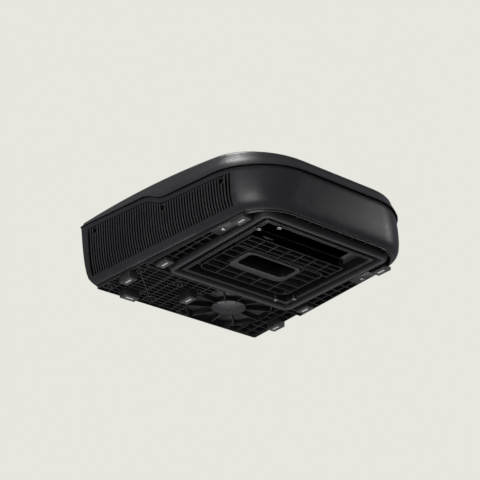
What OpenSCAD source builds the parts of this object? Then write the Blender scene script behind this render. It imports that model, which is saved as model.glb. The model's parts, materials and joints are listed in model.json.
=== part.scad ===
// Vehicle rooftop air conditioner, seen from the roof opening side.
// Origin: centre of the roof opening, on the roof plane. +Z up, front faces -Y.

/* [Roof opening] */
// Side of the square roof opening
opening = 400; // [370:5:500]
// Width of the soft seal
seal_w = 36; // [30:1:44]
// Height of the soft seal above the roof
seal_h = 25; // [20:1:30]
// Play between the seal and the pieces inside it
seal_gap = 4; // [2:0.5:8]

/* [Body] */
// Base edge: distance forward of the opening
front_margin = 66; // [58:1:120]
// Base edge: distance behind the opening
rear_margin = 291; // [285:1:400]
// Base edge: distance beside the opening
side_margin = 79; // [76:1:140]
// How far the front wall leans out up to the lid
front_lean = 20; // [5:1:40]
// How far the rear wall leans out up to the lid
rear_lean = 24; // [5:1:40]
// How far each side wall leans out up to the lid
side_lean = 37; // [10:1:60]
// Widening of the base edge over the body's depth, each side
base_taper = 40; // [0:1:60]
// Widening at the lid over the body's depth, each side
lid_taper = 47; // [0:1:80]
// Plan radius of the front corners at the base
front_r_base = 118; // [60:1:150]
// Plan radius of the front corners at the lid
front_r_lid = 178; // [80:1:200]
// Wall of the mid shell
wall = 3.5; // [2.5:0.5:5]

/* [Heights] */
// Base edge above the roof, front
edge_z_front = 13; // [11:1:20]
// Base edge above the roof, rear
edge_z_rear = 30; // [28:1:36]
// Lid parting line above the roof, front
part_z_front = 140; // [125:1:160]
// Rise of the parting line over the body's depth
part_rise = 45; // [20:1:60]
// Step of the parting line on the sides
part_step = 30; // [0:1:40]
// Lid edge above the roof, front
lid_z_front = 187.5; // [180:0.5:230]
// Rise of the lid edge over the body's depth
lid_rise = 50; // [40:1:70]
// Upward bow of the lid edge seen from the side
lid_bow = 22; // [10:1:26]
// Crown of the lid across its width
lid_crown = 7; // [2:1:15]
// Thickness of the lid
lid_wall = 3; // [2:0.5:5]
// Radius of the lid's upper edge
lid_r = 11; // [8:1:14]
// How far the lid's lower edge stands out past the shell, front
lid_over_front = 6.5; // [3:0.5:8]
// How far the lid's lower edge stands out past the shell, rear
lid_over_rear = 2.5; // [1:0.5:5]
// How far the lid's skirt leans in up to that radius, front
lid_lean_front = 18; // [4:1:24]
// How far the lid's skirt leans in up to that radius, rear
lid_lean_rear = 7; // [2:1:12]
// Open line between lid and shell
lid_reveal = 2.2; // [1:0.2:4]

/* [Base tray] */
// Underside of the tray's floor plate above the roof
floor_z = 46; // [40:1:50]
// Thickness of the floor plate
floor_t = 3; // [2:0.5:5]
// Lowest edge of the tray beside the opening
flange_z = 9; // [6:1:12]
// Lowest edge of the ribs behind the opening
rib_z = 20; // [18:1:30]
// Thickness of the tray's ribs
rib_t = 2.6; // [2:0.2:4]
// Pitch of the cross ribs under the compressor
rib_pitch = 18; // [15:1:30]

/* [Louvres] */
// Distance between the side slots
louvre_pitch = 11.4; // [9:0.2:16]
// Width of each bar between the slots
louvre_bar = 5.4; // [4:0.2:7]
// Depth of the bars
louvre_depth = 9; // [6:0.5:12]

/* [Fan and blower] */
// Radius of the condenser fan
fan_r = 88; // [70:1:88]
// Height of the condenser fan
fan_h = 42; // [25:1:50]
// Blades on the condenser fan
fan_blades = 7; // [3:1:11]
// Radius of the motor shafts
shaft_r = 5; // [4:0.5:7]
// Radial play of a shaft in its bearing
shaft_play = 0.05; // [0.02:0.01:0.08]
// Radius of the blower wheel
wheel_r = 54; // [40:1:58]
// Length of the blower wheel
wheel_w = 130; // [90:1:150]
// Blades on the blower wheel
wheel_blades = 24; // [16:1:32]

/* [Hidden] */
$fn = 64;
EPS = 0.01;

// ---------- outer form ----------
front_base = opening / 2 + front_margin;
rear_base = opening / 2 + rear_margin;
half_base = opening / 2 + side_margin;
depth = front_base + rear_base;
// The taper turns about this line, so widths are given beside the opening
taper_y = 155 - front_base;
rear_r_base = 12;
rear_r_lid = 16;
step_front = opening / 4 + 7;
step_rear = opening / 2;
SIDE_STEPS = 22;
CORNER_STEPS = 9;
REAR_STEPS = 4;
REAR_SHARES = [0.93, 0.6, 0.3, 0];
FACE_STEPS = 4;

function lerp(a, b, t) = a + (b - a) * t;
function along(y) = (y + front_base) / depth;
function smooth(t) = let (u = min(max(t, 0), 1)) u * u * (3 - 2 * u);
function edge_z(y) = lerp(edge_z_front, edge_z_rear, along(y));
function part_z(y) = part_z_front + part_rise * along(y)
  + part_step * smooth((y - step_front) / (step_rear - step_front));
function lid_z(y) = lid_z_front + lid_rise * along(y)
  + 4 * lid_bow * along(y) * (1 - along(y));
// Share of the lean reached at height share t: a tight curl below, then a slow draft
function lean(t) = 0.5 * (1 - pow(1 - t, 9)) + 0.5 * (1 - pow(1 - t, 1.5));

function half_w(t) = half_base + side_lean * lean(t);
function front_y(t) = -front_base - front_lean * lean(t);
// The rear wall curls less and drafts more evenly
function rear_y(t) = rear_base + rear_lean * (lean(t) + t) / 2;
function front_r(t) = lerp(front_r_base, front_r_lid, t);
function rear_r(t) = lerp(rear_r_base, rear_r_lid, t);
function taper(y, t) = 1 + lerp(base_taper, lid_taper, lean(t)) / depth
  * (y - taper_y) / half_base;

// Louvre windows run between these lines across the body
louvre_front = 100 - front_base;
louvre_rear = rear_base - 19;
// Shell levels 0 to 1 count up from the base edge; the windows lie between two of them
WINDOW_LOW = 0.14;
WINDOW_TOP = 0.88;
louvre_low = 18;
louvre_top = 15;
function height(y, t) =
  let (z0 = edge_z(y), z1 = part_z(y), w0 = z0 + louvre_low, w1 = z1 - louvre_top)
  t <= WINDOW_LOW ? lerp(z0, w0, t / WINDOW_LOW)
  : t >= WINDOW_TOP ? lerp(w1, z1, (t - WINDOW_TOP) / (1 - WINDOW_TOP))
  : lerp(w0, w1, (t - WINDOW_LOW) / (WINDOW_TOP - WINDOW_LOW));
function level(y, z) =
  let (z0 = edge_z(y), z1 = part_z(y), w0 = z0 + louvre_low, w1 = z1 - louvre_top)
  z <= w0 ? WINDOW_LOW * (z - z0) / louvre_low
  : z >= w1 ? lerp(WINDOW_TOP, 1, (z - w1) / louvre_top)
  : lerp(WINDOW_LOW, WINDOW_TOP, (z - w0) / (w1 - w0));

// Right half of the outline at level t, drawn in by inset, front to rear. The shell's
// own rings have points on the window lines; free rings spread them evenly.
function half_outline(t, inset, free) =
  let (
    w = half_w(t) - inset, yf = front_y(t) + inset, yr = rear_y(t) - inset,
    rf = max(front_r(t) - inset, 14), rr = max(rear_r(t) - inset, 6),
    y0 = free ? yf + rf : louvre_front, y1 = free ? yr - rr : louvre_rear,
    turn = asin((y0 - yf - rf) / rf)
  ) concat(
    [for (i = [0:FACE_STEPS]) [(w - rf) * i / (FACE_STEPS + 1), yf]],
    [for (i = [0:CORNER_STEPS]) let (a = lerp(-90, turn, i / CORNER_STEPS))
      [w - rf + rf * cos(a), yf + rf + rf * sin(a)]],
    [for (i = [1:SIDE_STEPS]) let (y = lerp(y0, y1, i / SIDE_STEPS), u = min(y - yf - rf, 0))
      [w - rf + sqrt(rf * rf - u * u), y]],
    [for (i = [free ? 1 : 0:REAR_STEPS]) let (a = 90 * i / REAR_STEPS)
      [w - rr + rr * cos(a), yr - rr + rr * sin(a)]],
    [for (s = REAR_SHARES) [(w - rr) * s, yr]]
  );
function tapered(points, t) = [for (p = points) [p.x * taper(p.y, t), p.y]];
function whole(half) = concat(
  half, [for (i = [len(half) - 2:-1:1]) [-half[i].x, half[i].y]]
);
function outline(t, inset = 0, free = false) = whole(tapered(half_outline(t, inset, free), t));

// Distance of the side wall from the middle plane at y and level t
function wall_x(y, t) =
  let (
    rf = front_r(t), rr = rear_r(t), w = half_w(t),
    u = y - (front_y(t) + rf), v = y - (rear_y(t) - rr),
    x = u < 0 ? w - rf + sqrt(max(rf * rf - u * u, 0))
      : v > 0 ? w - rr + sqrt(max(rr * rr - v * v, 0)) : w
  ) x * taper(y, t);

// Triangles between successive rings of n points
function band_faces(n, rings) = [
  for (i = [0:rings - 2]) for (j = [0:n - 1])
    let (a = i * n + j, b = i * n + (j + 1) % n, c = a + n, d = b + n)
      each [[a, b, d], [a, d, c]]
];
// Closes a left-right symmetric ring: rungs across it, fans at its straight ends
function cap_faces(n, first, flip) =
  let (
    m = FACE_STEPS + 1, r = n / 2 - len(REAR_SHARES),
    tris = concat(
      [for (k = [-m:m - 1]) [(k + n) % n, (k + 1 + n) % n, m + 1]],
      [[n - m, m + 1, n - m - 1]],
      [for (j = [m + 1:r - 2]) each [[j, j + 1, n - j - 1], [j, n - j - 1, n - j]]],
      [for (k = [r:n - r - 1]) [r - 1, k, k + 1]],
      [[r - 1, n - r, n - r + 1]]
    )
  ) [for (t = tris) flip ? [first + t[0], first + t[2], first + t[1]]
      : [first + t[0], first + t[1], first + t[2]]];

function shell_ring(t, inset, dz = 0) = [
  for (p = outline(t, inset)) [p.x, p.y, height(p.y, t) + dz]
];
SHELL_LEVELS = [0, 0.03, 0.075, WINDOW_LOW, 0.22, 0.35, 0.5, 0.68, WINDOW_TOP, 1];
LOW_RING = 3;
TOP_RING = 8;
tongue_w = 2;
tongue_h = 6;
tongue_in = wall + 1.1;

module shell_wall() {
  last = len(SHELL_LEVELS) - 1;
  rings = concat(
    [for (t = SHELL_LEVELS) shell_ring(t, 0)],
    [shell_ring(1, tongue_in), shell_ring(1, tongue_in, tongue_h),
     shell_ring(1, tongue_in + tongue_w, tongue_h),
     shell_ring(1, tongue_in + tongue_w, -tongue_h)],
    [for (i = [last - 1:-1:0]) shell_ring(SHELL_LEVELS[i], wall)]
  );
  n = len(rings[0]);
  count = len(rings);
  // index of the inner ring that lies behind outer ring i
  first_inner = last + 5;
  function behind(i) = first_inner + last - 1 - i;
  j0 = FACE_STEPS + 1 + CORNER_STEPS;
  j1 = j0 + SIDE_STEPS;
  jr = j1 + REAR_STEPS + 2;
  windows = [[j0, j1], [jr, n - jr], [n - j1, n - j0]];
  function in_window(j) = len([for (w = windows) if (j >= w[0] && j < w[1]) 1]) > 0;
  function open(i) = (i >= LOW_RING && i < TOP_RING)
    || (i >= behind(TOP_RING) && i < behind(LOW_RING));
  walls = [
    for (i = [0:count - 1]) for (j = [0:n - 1]) if (!(open(i) && in_window(j)))
      let (
        a = i * n + j, b = i * n + (j + 1) % n,
        c = ((i + 1) % count) * n + (j + 1) % n, d = ((i + 1) % count) * n + j
      ) each [[a, c, b], [a, d, c]]
  ];
  sills = [
    for (w = windows) for (j = [w[0]:w[1] - 1]) for (i = [LOW_RING, TOP_RING])
      let (
        a = i * n + j, b = a + 1, c = behind(i) * n + j + 1, d = c - 1
      ) each i == LOW_RING ? [[a, d, c], [a, c, b]] : [[a, c, d], [a, b, c]]
  ];
  jambs = [
    for (w = windows) for (j = w) for (i = [LOW_RING:TOP_RING - 1])
      let (
        a = i * n + j, b = a + n, c = behind(i + 1) * n + j, d = behind(i) * n + j
      ) each j == w[0] ? [[a, b, c], [a, c, d]] : [[a, c, b], [a, d, c]]
  ];
  polyhedron([for (r = rings) each r], concat(walls, sills, jambs), convexity = 8);
}

// ---------- louvre windows ----------
rail_h = 6;
// The upper rail stays below the shell's tongue
rail_lip = 2;
// The grille's lower rail is thin, to clear the tray's rim
low_rail_t = 4;
louvre_fit = 0.4;
function louvre_z0(y) = edge_z(y) + louvre_low;
function louvre_z1(y) = part_z(y) - louvre_top;
LOUVRE_COUNT = floor((louvre_rear - louvre_front) / louvre_pitch);
function rear_window(t) = REAR_SHARES[0] * (half_w(t) - rear_r(t)) * taper(rear_y(t), t) - louvre_fit;
rear_window_z0 = height(rear_base, WINDOW_LOW);
rear_window_z1 = height(rear_base, WINDOW_TOP);

// Extrudes a profile drawn in Y and Z along X
module along_x(x0, x1) {
  translate([x0, 0, 0]) rotate([90, 0, 90]) linear_extrude(x1 - x0) children();
}
// Extrudes a profile drawn in X and Z along Y
module along_y(y0, y1) {
  translate([0, y1, 0]) rotate([90, 0, 0]) linear_extrude(y1 - y0) children();
}

module mid_shell() color([0.16, 0.16, 0.17]) difference() {
  shell_wall();
  lid_screw_holes();
}

// Follows the wall from z0 to z1, from near to far behind its face
function bar_profile(y, z0, z1, near, far, steps) = concat(
  [for (i = [0:steps]) let (z = lerp(z0, z1, i / steps)) [wall_x(y, level(y, z)) - near, z]],
  [for (i = [steps:-1:0]) let (z = lerp(z0, z1, i / steps)) [wall_x(y, level(y, z)) - far, z]]
);
rail_near = wall + 1.2;
function bar_y(i) = louvre_front + louvre_fit + louvre_pitch * (i + 1) - louvre_bar;
CATCH_BARS = [2, floor(LOUVRE_COUNT / 2) - 3, LOUVRE_COUNT - 3];
module side_louvres() {
  rail_far = rail_near + louvre_depth - 3;
  end_w = 3;
  first = louvre_front + louvre_fit;
  last = louvre_rear - louvre_fit;
  for (i = [0:LOUVRE_COUNT - 1]) {
    y = bar_y(i);
    // a bar below a catch window stops short of the catch
    top = len([for (k = CATCH_BARS) if (k == i) 1]) > 0 ? catch_drop + 1 : louvre_fit + 0.6;
    if (y + louvre_bar < last)
      along_y(y, y + louvre_bar)
        polygon(bar_profile(y, louvre_z0(y) + louvre_fit + 0.4, louvre_z1(y) - top, 0.8, rail_far, 4));
  }
  // back rails join the bars and reach behind the window's rim
  for (i = [0:LOUVRE_COUNT]) {
    y0 = first + louvre_pitch * i - (i == 0 ? end_w : 0);
    y1 = min(first + louvre_pitch * (i + 1), last + end_w);
    if (y1 > y0) {
      along_y(y0, y1)
        polygon(bar_profile(y0, louvre_z0(y0) - rail_h, louvre_z0(y0) + 2, rail_near, rail_far, 1));
      along_y(y0, y1)
        polygon(bar_profile(y0, louvre_z1(y0) - rail_h, louvre_z1(y0) + rail_lip, rail_near, rail_far, 1));
    }
  }
}
module right_louvres() color([0.13, 0.13, 0.14]) side_louvres();
module left_louvres() color([0.13, 0.13, 0.14]) mirror([1, 0, 0]) side_louvres();

function rear_wall_y(z) = rear_y(level(rear_base, z));
function rear_bar(z0, z1, near, far) = concat(
  [for (i = [0:4]) let (z = lerp(z0, z1, i / 4)) [rear_wall_y(z) - near, z]],
  [for (i = [4:-1:0]) let (z = lerp(z0, z1, i / 4)) [rear_wall_y(z) - far, z]]
);
module rear_grille() color([0.13, 0.13, 0.14]) {
  far = rail_near + louvre_depth - 3;
  low_half = rear_window(WINDOW_LOW);
  top_half = rear_window(WINDOW_TOP);
  count = floor((top_half - louvre_bar) / louvre_pitch);
  // the window widens upwards, so the outer bars start higher
  for (i = [-count:count]) {
    edge = abs(i) * louvre_pitch + louvre_bar / 2;
    rise = max(edge - low_half, 0) / (top_half - low_half);
    z0 = lerp(rear_window_z0, rear_window_z1, rise) + 0.5;
    if (rise < 0.9) along_x(i * louvre_pitch - louvre_bar / 2, i * louvre_pitch + louvre_bar / 2)
      polygon(rear_bar(z0, rear_window_z1 - 0.5, 0.8, far));
  }
  along_x(-low_half - rail_h, low_half + rail_h)
    polygon(rear_bar(rear_window_z0 - rail_h, rear_window_z0 + 2, rail_near, rail_near + low_rail_t));
  along_x(-top_half, top_half)
    polygon(rear_bar(rear_window_z1 - rail_h, rear_window_z1 + rail_lip, rail_near, far));
}

// ---------- lid ----------
CROWN_INSETS = [270, 180, 110, 60];
FILLET_ANGLES = [75, 50, 25, 0];
function lid_floor(y) = part_z(y) + lid_reveal;
function crown_at(inset) = lid_crown * (1 - pow(1 - min(inset, 270) / 270, 2));
function lid_top_ring(inset, drop) = [
  for (p = outline(1, inset, true)) [p.x, p.y, lid_z(p.y) + crown_at(inset) - drop]
];
// Outline at the lid's level whose inset changes evenly from front to rear
function lid_outline(front, rear) =
  let (a = outline(1, front - lid_over_front, true), b = outline(1, rear - lid_over_rear, true))
  [for (i = [0:len(a) - 1]) a[i] + (b[i] - a[i]) * along((a[i].y + b[i].y) / 2)];
function lid_fillet_ring(a, more) =
  let (in = lid_r - (lid_r - more) * cos(a))
  [for (p = lid_outline(lid_lean_front + in, lid_lean_rear + in))
    [p.x, p.y, lid_z(p.y) - lid_r + (lid_r - more) * sin(a)]];
function lid_skirt_ring(s, more) = [
  for (p = lid_outline(lid_lean_front * s + more, lid_lean_rear * s + more))
    [p.x, p.y, lerp(lid_floor(p.y), lid_z(p.y) - lid_r, s)]
];
module lid() color([0.18, 0.18, 0.19]) difference() {
  lid_body();
  lid_screw_holes();
}
module lid_body() {
  outer = concat(
    [for (d = CROWN_INSETS) lid_top_ring(d, 0)], [for (a = FILLET_ANGLES) lid_fillet_ring(a, 0)],
    [for (s = [0.5, 0]) lid_skirt_ring(s, 0)]
  );
  inner = concat(
    [for (s = [0, 0.5]) lid_skirt_ring(s, lid_wall)],
    [for (i = [len(FILLET_ANGLES) - 1:-1:0]) lid_fillet_ring(FILLET_ANGLES[i], lid_wall)],
    [for (i = [len(CROWN_INSETS) - 1:-1:0]) lid_top_ring(CROWN_INSETS[i], lid_wall)]
  );
  rings = concat(outer, inner);
  n = len(rings[0]);
  polyhedron(
    [for (r = rings) each r],
    concat(band_faces(n, len(rings)), cap_faces(n, 0, true),
      cap_faces(n, n * (len(rings) - 1), false)),
    convexity = 6
  );
}

// ---------- lower side ----------
seal_in = opening / 2 + seal_gap;
seal_out = seal_in + seal_w;
crest = (seal_in + seal_out) / 2;
ring_out = opening / 2 - 2;
ring_w = 12;
ring_z = 6;
ring_t = 3;
module ring_2d(outer, inner) difference() {
  square(2 * outer, center = true);
  square(2 * inner, center = true);
}
module rounded_2d(x0, y0, x1, y1, r) {
  translate([x0 + r, y0]) square([x1 - x0 - 2 * r, y1 - y0]);
  translate([x0, y0 + r]) square([x1 - x0, y1 - y0 - 2 * r]);
  for (x = [x0 + r, x1 - r]) for (y = [y0 + r, y1 - r]) translate([x, y]) circle(r);
}

// Seal profile: width along x about 0, height along y from the roof
seal_round = 9;
module seal_profile() {
  foot = seal_w / 2;
  polygon(concat(
    [[foot, seal_h]],
    [for (a = [-20:-10:-160]) [seal_round * cos(a), seal_round + seal_round * sin(a)]],
    [[-foot, seal_h]]
  ));
}
module roof_seal() color([0.09, 0.09, 0.1]) {
  turn = seal_w / 2 + 1;
  run = crest - turn;
  for (a = [0:90:270]) rotate([0, 0, a]) {
    translate([crest, run, 0]) rotate([90, 0, 0]) linear_extrude(2 * run) seal_profile();
    translate([run, run, 0]) rotate_extrude(angle = 90) translate([turn, 0]) seal_profile();
  }
}

// Underside zones
zone_y = seal_out + 4;
mid_y = zone_y;
pad_l = 52;
pad_w = 30;
pad_h = rib_z + 3;
// The foot runs out under the body's edge, the neck above it stays inside
pad_foot = edge_z_front - 2.5;
pad_clear = 0.3;
pad_side = seal_out + 3 + pad_w / 2;
comp_x = 73 - half_base;
// [x, y, turn]: spacer pads round the opening and under the heavy pieces
PADS = [
  [-pad_side, 42 - opening / 2, 0], [pad_side, 40 - opening / 2, 0],
  [-pad_side - 6, opening / 2 - 10, 0], [pad_side + 4, opening / 2 - 14, 0],
  [-pad_side - 24, opening / 2 + 149, 0], [pad_side + 21, opening / 2 + 147, 0],
  [comp_x - 5, opening / 2 + 246, 90], [comp_x + 144, opening / 2 + 150, 0]
];
module pad_2d(grow = 0) square([pad_w + 2 * grow, pad_l + 2 * grow], center = true);
module pads_2d(grow = 0) for (p = PADS) translate([p.x, p.y]) rotate(p[2]) pad_2d(grow);

module spacer_pads() color([0.14, 0.14, 0.15]) difference() {
  union() {
    linear_extrude(pad_foot) pads_2d();
    linear_extrude(pad_h) intersection() {
      pads_2d();
      tray_outline_2d(tray_side);
    }
  }
  // a raised bar stands in a shallow recess
  for (p = PADS) translate([p.x, p.y, -EPS]) rotate([0, 0, p[2]]) difference() {
    translate([-pad_w / 2 + 4, -pad_l / 2 + 4, 0]) cube([pad_w - 8, pad_l - 8, 0.8]);
    translate([-4, 10 - pad_l / 2, -1]) cube([8, pad_l - 20, 3]);
  }
}

fan_x = half_base - 171;
fan_y = opening / 2 + 170;
dome_r = 54;
dome_ring = 134;
comp_y = opening / 2 + 102;
MOUNTS = [
  [comp_x - 78, comp_y + 144], [comp_x - 71, comp_y], [comp_x + 79, comp_y + 2], [comp_x + 70, comp_y + 146]
];
mount_boss_r = 20;
flange_boss_r = 13;
FLANGE_BOSSES = [for (side = [-1, 1]) [side * (seal_out + 18), 121 - opening / 2]];
REAR_HOLES = [for (h = [[-82, 97], [130, 252], [-158, 252]]) [fan_x + h.x, opening / 2 + h.y]];
tray_side = wall + 1;

module tray_outline_2d(inset = tray_side) polygon(outline(0, inset));
// Longer than the body in every direction
reach = 2 * opening;
module below_2d(y) translate([-reach, -reach]) square([2 * reach, reach + y]);
module above_2d(y) translate([-reach, y]) square([2 * reach, reach]);

module rear_ribs_2d() {
  // compressor bay: close cross ribs, wider lengthwise ribs
  for (y = [zone_y + 12:rib_pitch:rear_base - 10])
    translate([-half_base - 31, y - rib_t / 2]) square([half_base + 31, rib_t]);
  for (x = [-94, -56, -22, 26, 34, 60, 94, 128, 170])
    translate([comp_x + x - rib_t / 2, zone_y]) square([rib_t, rear_base - zone_y - 4]);
  // fan bay
  for (x = [-118, -84, -48, 48, 84, 120, 154, 188])
    translate([fan_x + x - rib_t / 2, zone_y]) square([rib_t, rear_base - zone_y - 4]);
  for (y = [zone_y + 22:36:rear_base - 6])
    translate([-4, y - rib_t / 2]) square([half_base + 31, rib_t]);
}
module mount_brace_2d() {
  a = MOUNTS[1];
  b = MOUNTS[3];
  turn = atan2(b.y - a.y, b.x - a.x);
  length = norm([b.x - a.x, b.y - a.y]);
  translate(a) rotate(turn) translate([0, -rib_t / 2]) square([length, rib_t]);
}
module fan_ribs_2d() {
  for (a = [0:36:324]) rotate(a + 8) translate([dome_r - 2, -rib_t / 2])
    square([dome_ring - dome_r + 2, rib_t]);
  difference() {
    circle(dome_ring);
    circle(dome_ring - rib_t);
  }
}
module rear_lattice_2d() {
  difference() {
    union() {
      rear_ribs_2d();
      mount_brace_2d();
    }
    translate([fan_x, fan_y]) circle(dome_ring - 1);
    for (m = MOUNTS) translate(m) circle(mount_boss_r - 1);
  }
}
module mount_rings_2d() for (m = MOUNTS) translate(m) difference() {
  circle(mount_boss_r);
  circle(mount_boss_r - rib_t);
}
module side_cells_2d() {
  inner = seal_out + 0.5;
  for (side = [-1, 1]) {
    for (y = [160 - opening / 2:38:zone_y - 8])
      translate([side > 0 ? inner : -inner - 62, y - rib_t / 2]) square([62, rib_t]);
    translate([side * (seal_out + 22) - rib_t / 2, 160 - opening / 2])
      square([rib_t, zone_y - 180 + opening / 2]);
    translate([side > 0 ? inner : -inner - 50, 84 - opening / 2]) square([50, rib_t]);
  }
}
module front_cells_2d() for (x = [-186, -133, -85, -37, 22, 70, 118, 186])
  translate([x * opening / 400 - rib_t / 2, -front_base - 4]) square([rib_t, front_base - seal_out + 6]);

// The dome stands below the spokes that carry it
dome_z = rib_z + 1;
spoke_z = rib_z + 8;
module dome() {
  drop = 9;
  radius = (dome_r * dome_r + drop * drop) / (2 * drop);
  translate([fan_x, fan_y, 0]) difference() {
    union() {
      translate([0, 0, dome_z + drop]) cylinder(h = floor_z - dome_z - drop, r = dome_r);
      intersection() {
        translate([0, 0, dome_z + radius]) sphere(radius, $fn = 96);
        translate([0, 0, dome_z - 1]) cylinder(h = drop + 2, r = dome_r);
      }
    }
    translate([0, 0, dome_z - 2]) cylinder(h = 8, r = 2.5);
    translate([0, 0, dome_z + drop + 4]) cylinder(h = floor_z, r = dome_r - 4);
  }
}

module base_tray() color([0.1, 0.1, 0.11]) {
  difference() {
    union() {
      // floor plate
      translate([0, 0, floor_z]) linear_extrude(floor_t) difference() {
        tray_outline_2d();
        square(2 * (opening / 2 + EPS), center = true);
      }
      // rim, deeper beside the opening than behind it
      translate([0, 0, rib_z]) linear_extrude(floor_z - rib_z + EPS) intersection() {
        difference() {
          tray_outline_2d();
          tray_outline_2d(tray_side + rib_t);
        }
        above_2d(mid_y - rib_t);
      }
      translate([0, 0, flange_z]) linear_extrude(floor_z - flange_z + EPS) intersection() {
        union() {
          difference() {
            tray_outline_2d();
            tray_outline_2d(tray_side + rib_t);
          }
          translate([-reach, mid_y - rib_t]) square([2 * reach, rib_t]);
        }
        below_2d(mid_y);
        tray_outline_2d();
      }
      // ribs
      translate([0, 0, rib_z + 3]) linear_extrude(floor_z - rib_z - 3 + EPS) intersection() {
        rear_lattice_2d();
        tray_outline_2d(tray_side + 1);
        above_2d(zone_y - 1);
      }
      translate([0, 0, rib_z]) linear_extrude(floor_z - rib_z + EPS) intersection() {
        mount_rings_2d();
        tray_outline_2d(tray_side + 1);
      }
      translate([0, 0, spoke_z]) linear_extrude(floor_z - spoke_z + EPS) intersection() {
        translate([fan_x, fan_y]) fan_ribs_2d();
        above_2d(zone_y);
        tray_outline_2d(tray_side + 1);
      }
      translate([0, 0, flange_z + 2]) linear_extrude(floor_z - flange_z - 2 + EPS) intersection() {
        side_cells_2d();
        tray_outline_2d(tray_side + 1);
        below_2d(mid_y - 1);
      }
      translate([0, 0, edge_z_front + 2]) linear_extrude(floor_z - edge_z_front - 2 + EPS) intersection() {
        front_cells_2d();
        tray_outline_2d(tray_side + 1);
        below_2d(-seal_out - 0.5);
      }
      // ceiling of the front recess
      translate([0, 0, 30]) linear_extrude(floor_z - 30 + EPS) intersection() {
        tray_outline_2d(tray_side + 1);
        below_2d(-seal_out);
        translate([10 - opening / 2, -reach]) square([opening - 20, reach]);
      }
      // ledges of the screw bosses
      for (b = FLANGE_BOSSES) translate([0, 0, flange_z]) linear_extrude(3) intersection() {
        translate([b.x > 0 ? seal_out + 0.5 : -seal_out - 70.5, b.y - 44]) square([70, 82]);
        tray_outline_2d(tray_side + 1);
      }
      for (b = FLANGE_BOSSES) translate([b.x, b.y, flange_z - 1])
        cylinder(h = floor_z - flange_z + 1 + EPS, r = flange_boss_r);
      // seal seat and the walls of the opening
      translate([0, 0, seal_h]) linear_extrude(3) ring_2d(seal_out + 1, opening / 2);
      translate([0, 0, seal_h]) linear_extrude(floor_z - seal_h + EPS) {
        ring_2d(seal_out + 1, seal_out - 2);
        ring_2d(opening / 2 + 3, opening / 2);
      }
      // seats above the pads
      translate([0, 0, pad_h]) linear_extrude(floor_z - pad_h + EPS) intersection() {
        pads_2d(pad_clear + 2.2);
        tray_outline_2d(tray_side + 1);
      }
      dome();
      for (m = MOUNTS) translate([m.x, m.y, rib_z + 4]) cylinder(h = floor_z - rib_z - 4 + EPS, r = 9);
      for (m = MOUNTS) for (a = [18:72:306]) translate([m.x, m.y, rib_z + 1]) rotate([0, 0, a])
        translate([0, -rib_t / 2, 0]) cube([mount_boss_r - 1, rib_t, floor_z - rib_z - 1 + EPS]);
    }
    translate([0, 0, -1]) linear_extrude(pad_h + 1) pads_2d(pad_clear);
    for (m = MOUNTS) translate([m.x, m.y, rib_z]) cylinder(h = 60, r = mount_bolt_r + 0.2);
    for (b = FLANGE_BOSSES) translate([b.x, b.y, 0]) cylinder(h = 60, r = 3);
    for (h = REAR_HOLES) translate([h.x - 7, h.y - 7, 0]) cube([14, 14, 60]);
  }
}

// ---------- pieces inside the seal ----------
guide_out = opening / 2 - 0.5;
guide_floor = 34;
ret_x0 = 18 - opening / 2;
ret_x1 = opening / 2 - 50;
ret_y0 = 21 - opening / 2;
ret_y1 = ret_y0 + 78;
out_x0 = -104;
out_x1 = 68;
out_y0 = ret_y1 + 90;
out_y1 = out_y0 + 73;
out_r = 18;
out_rim = 15;
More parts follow.
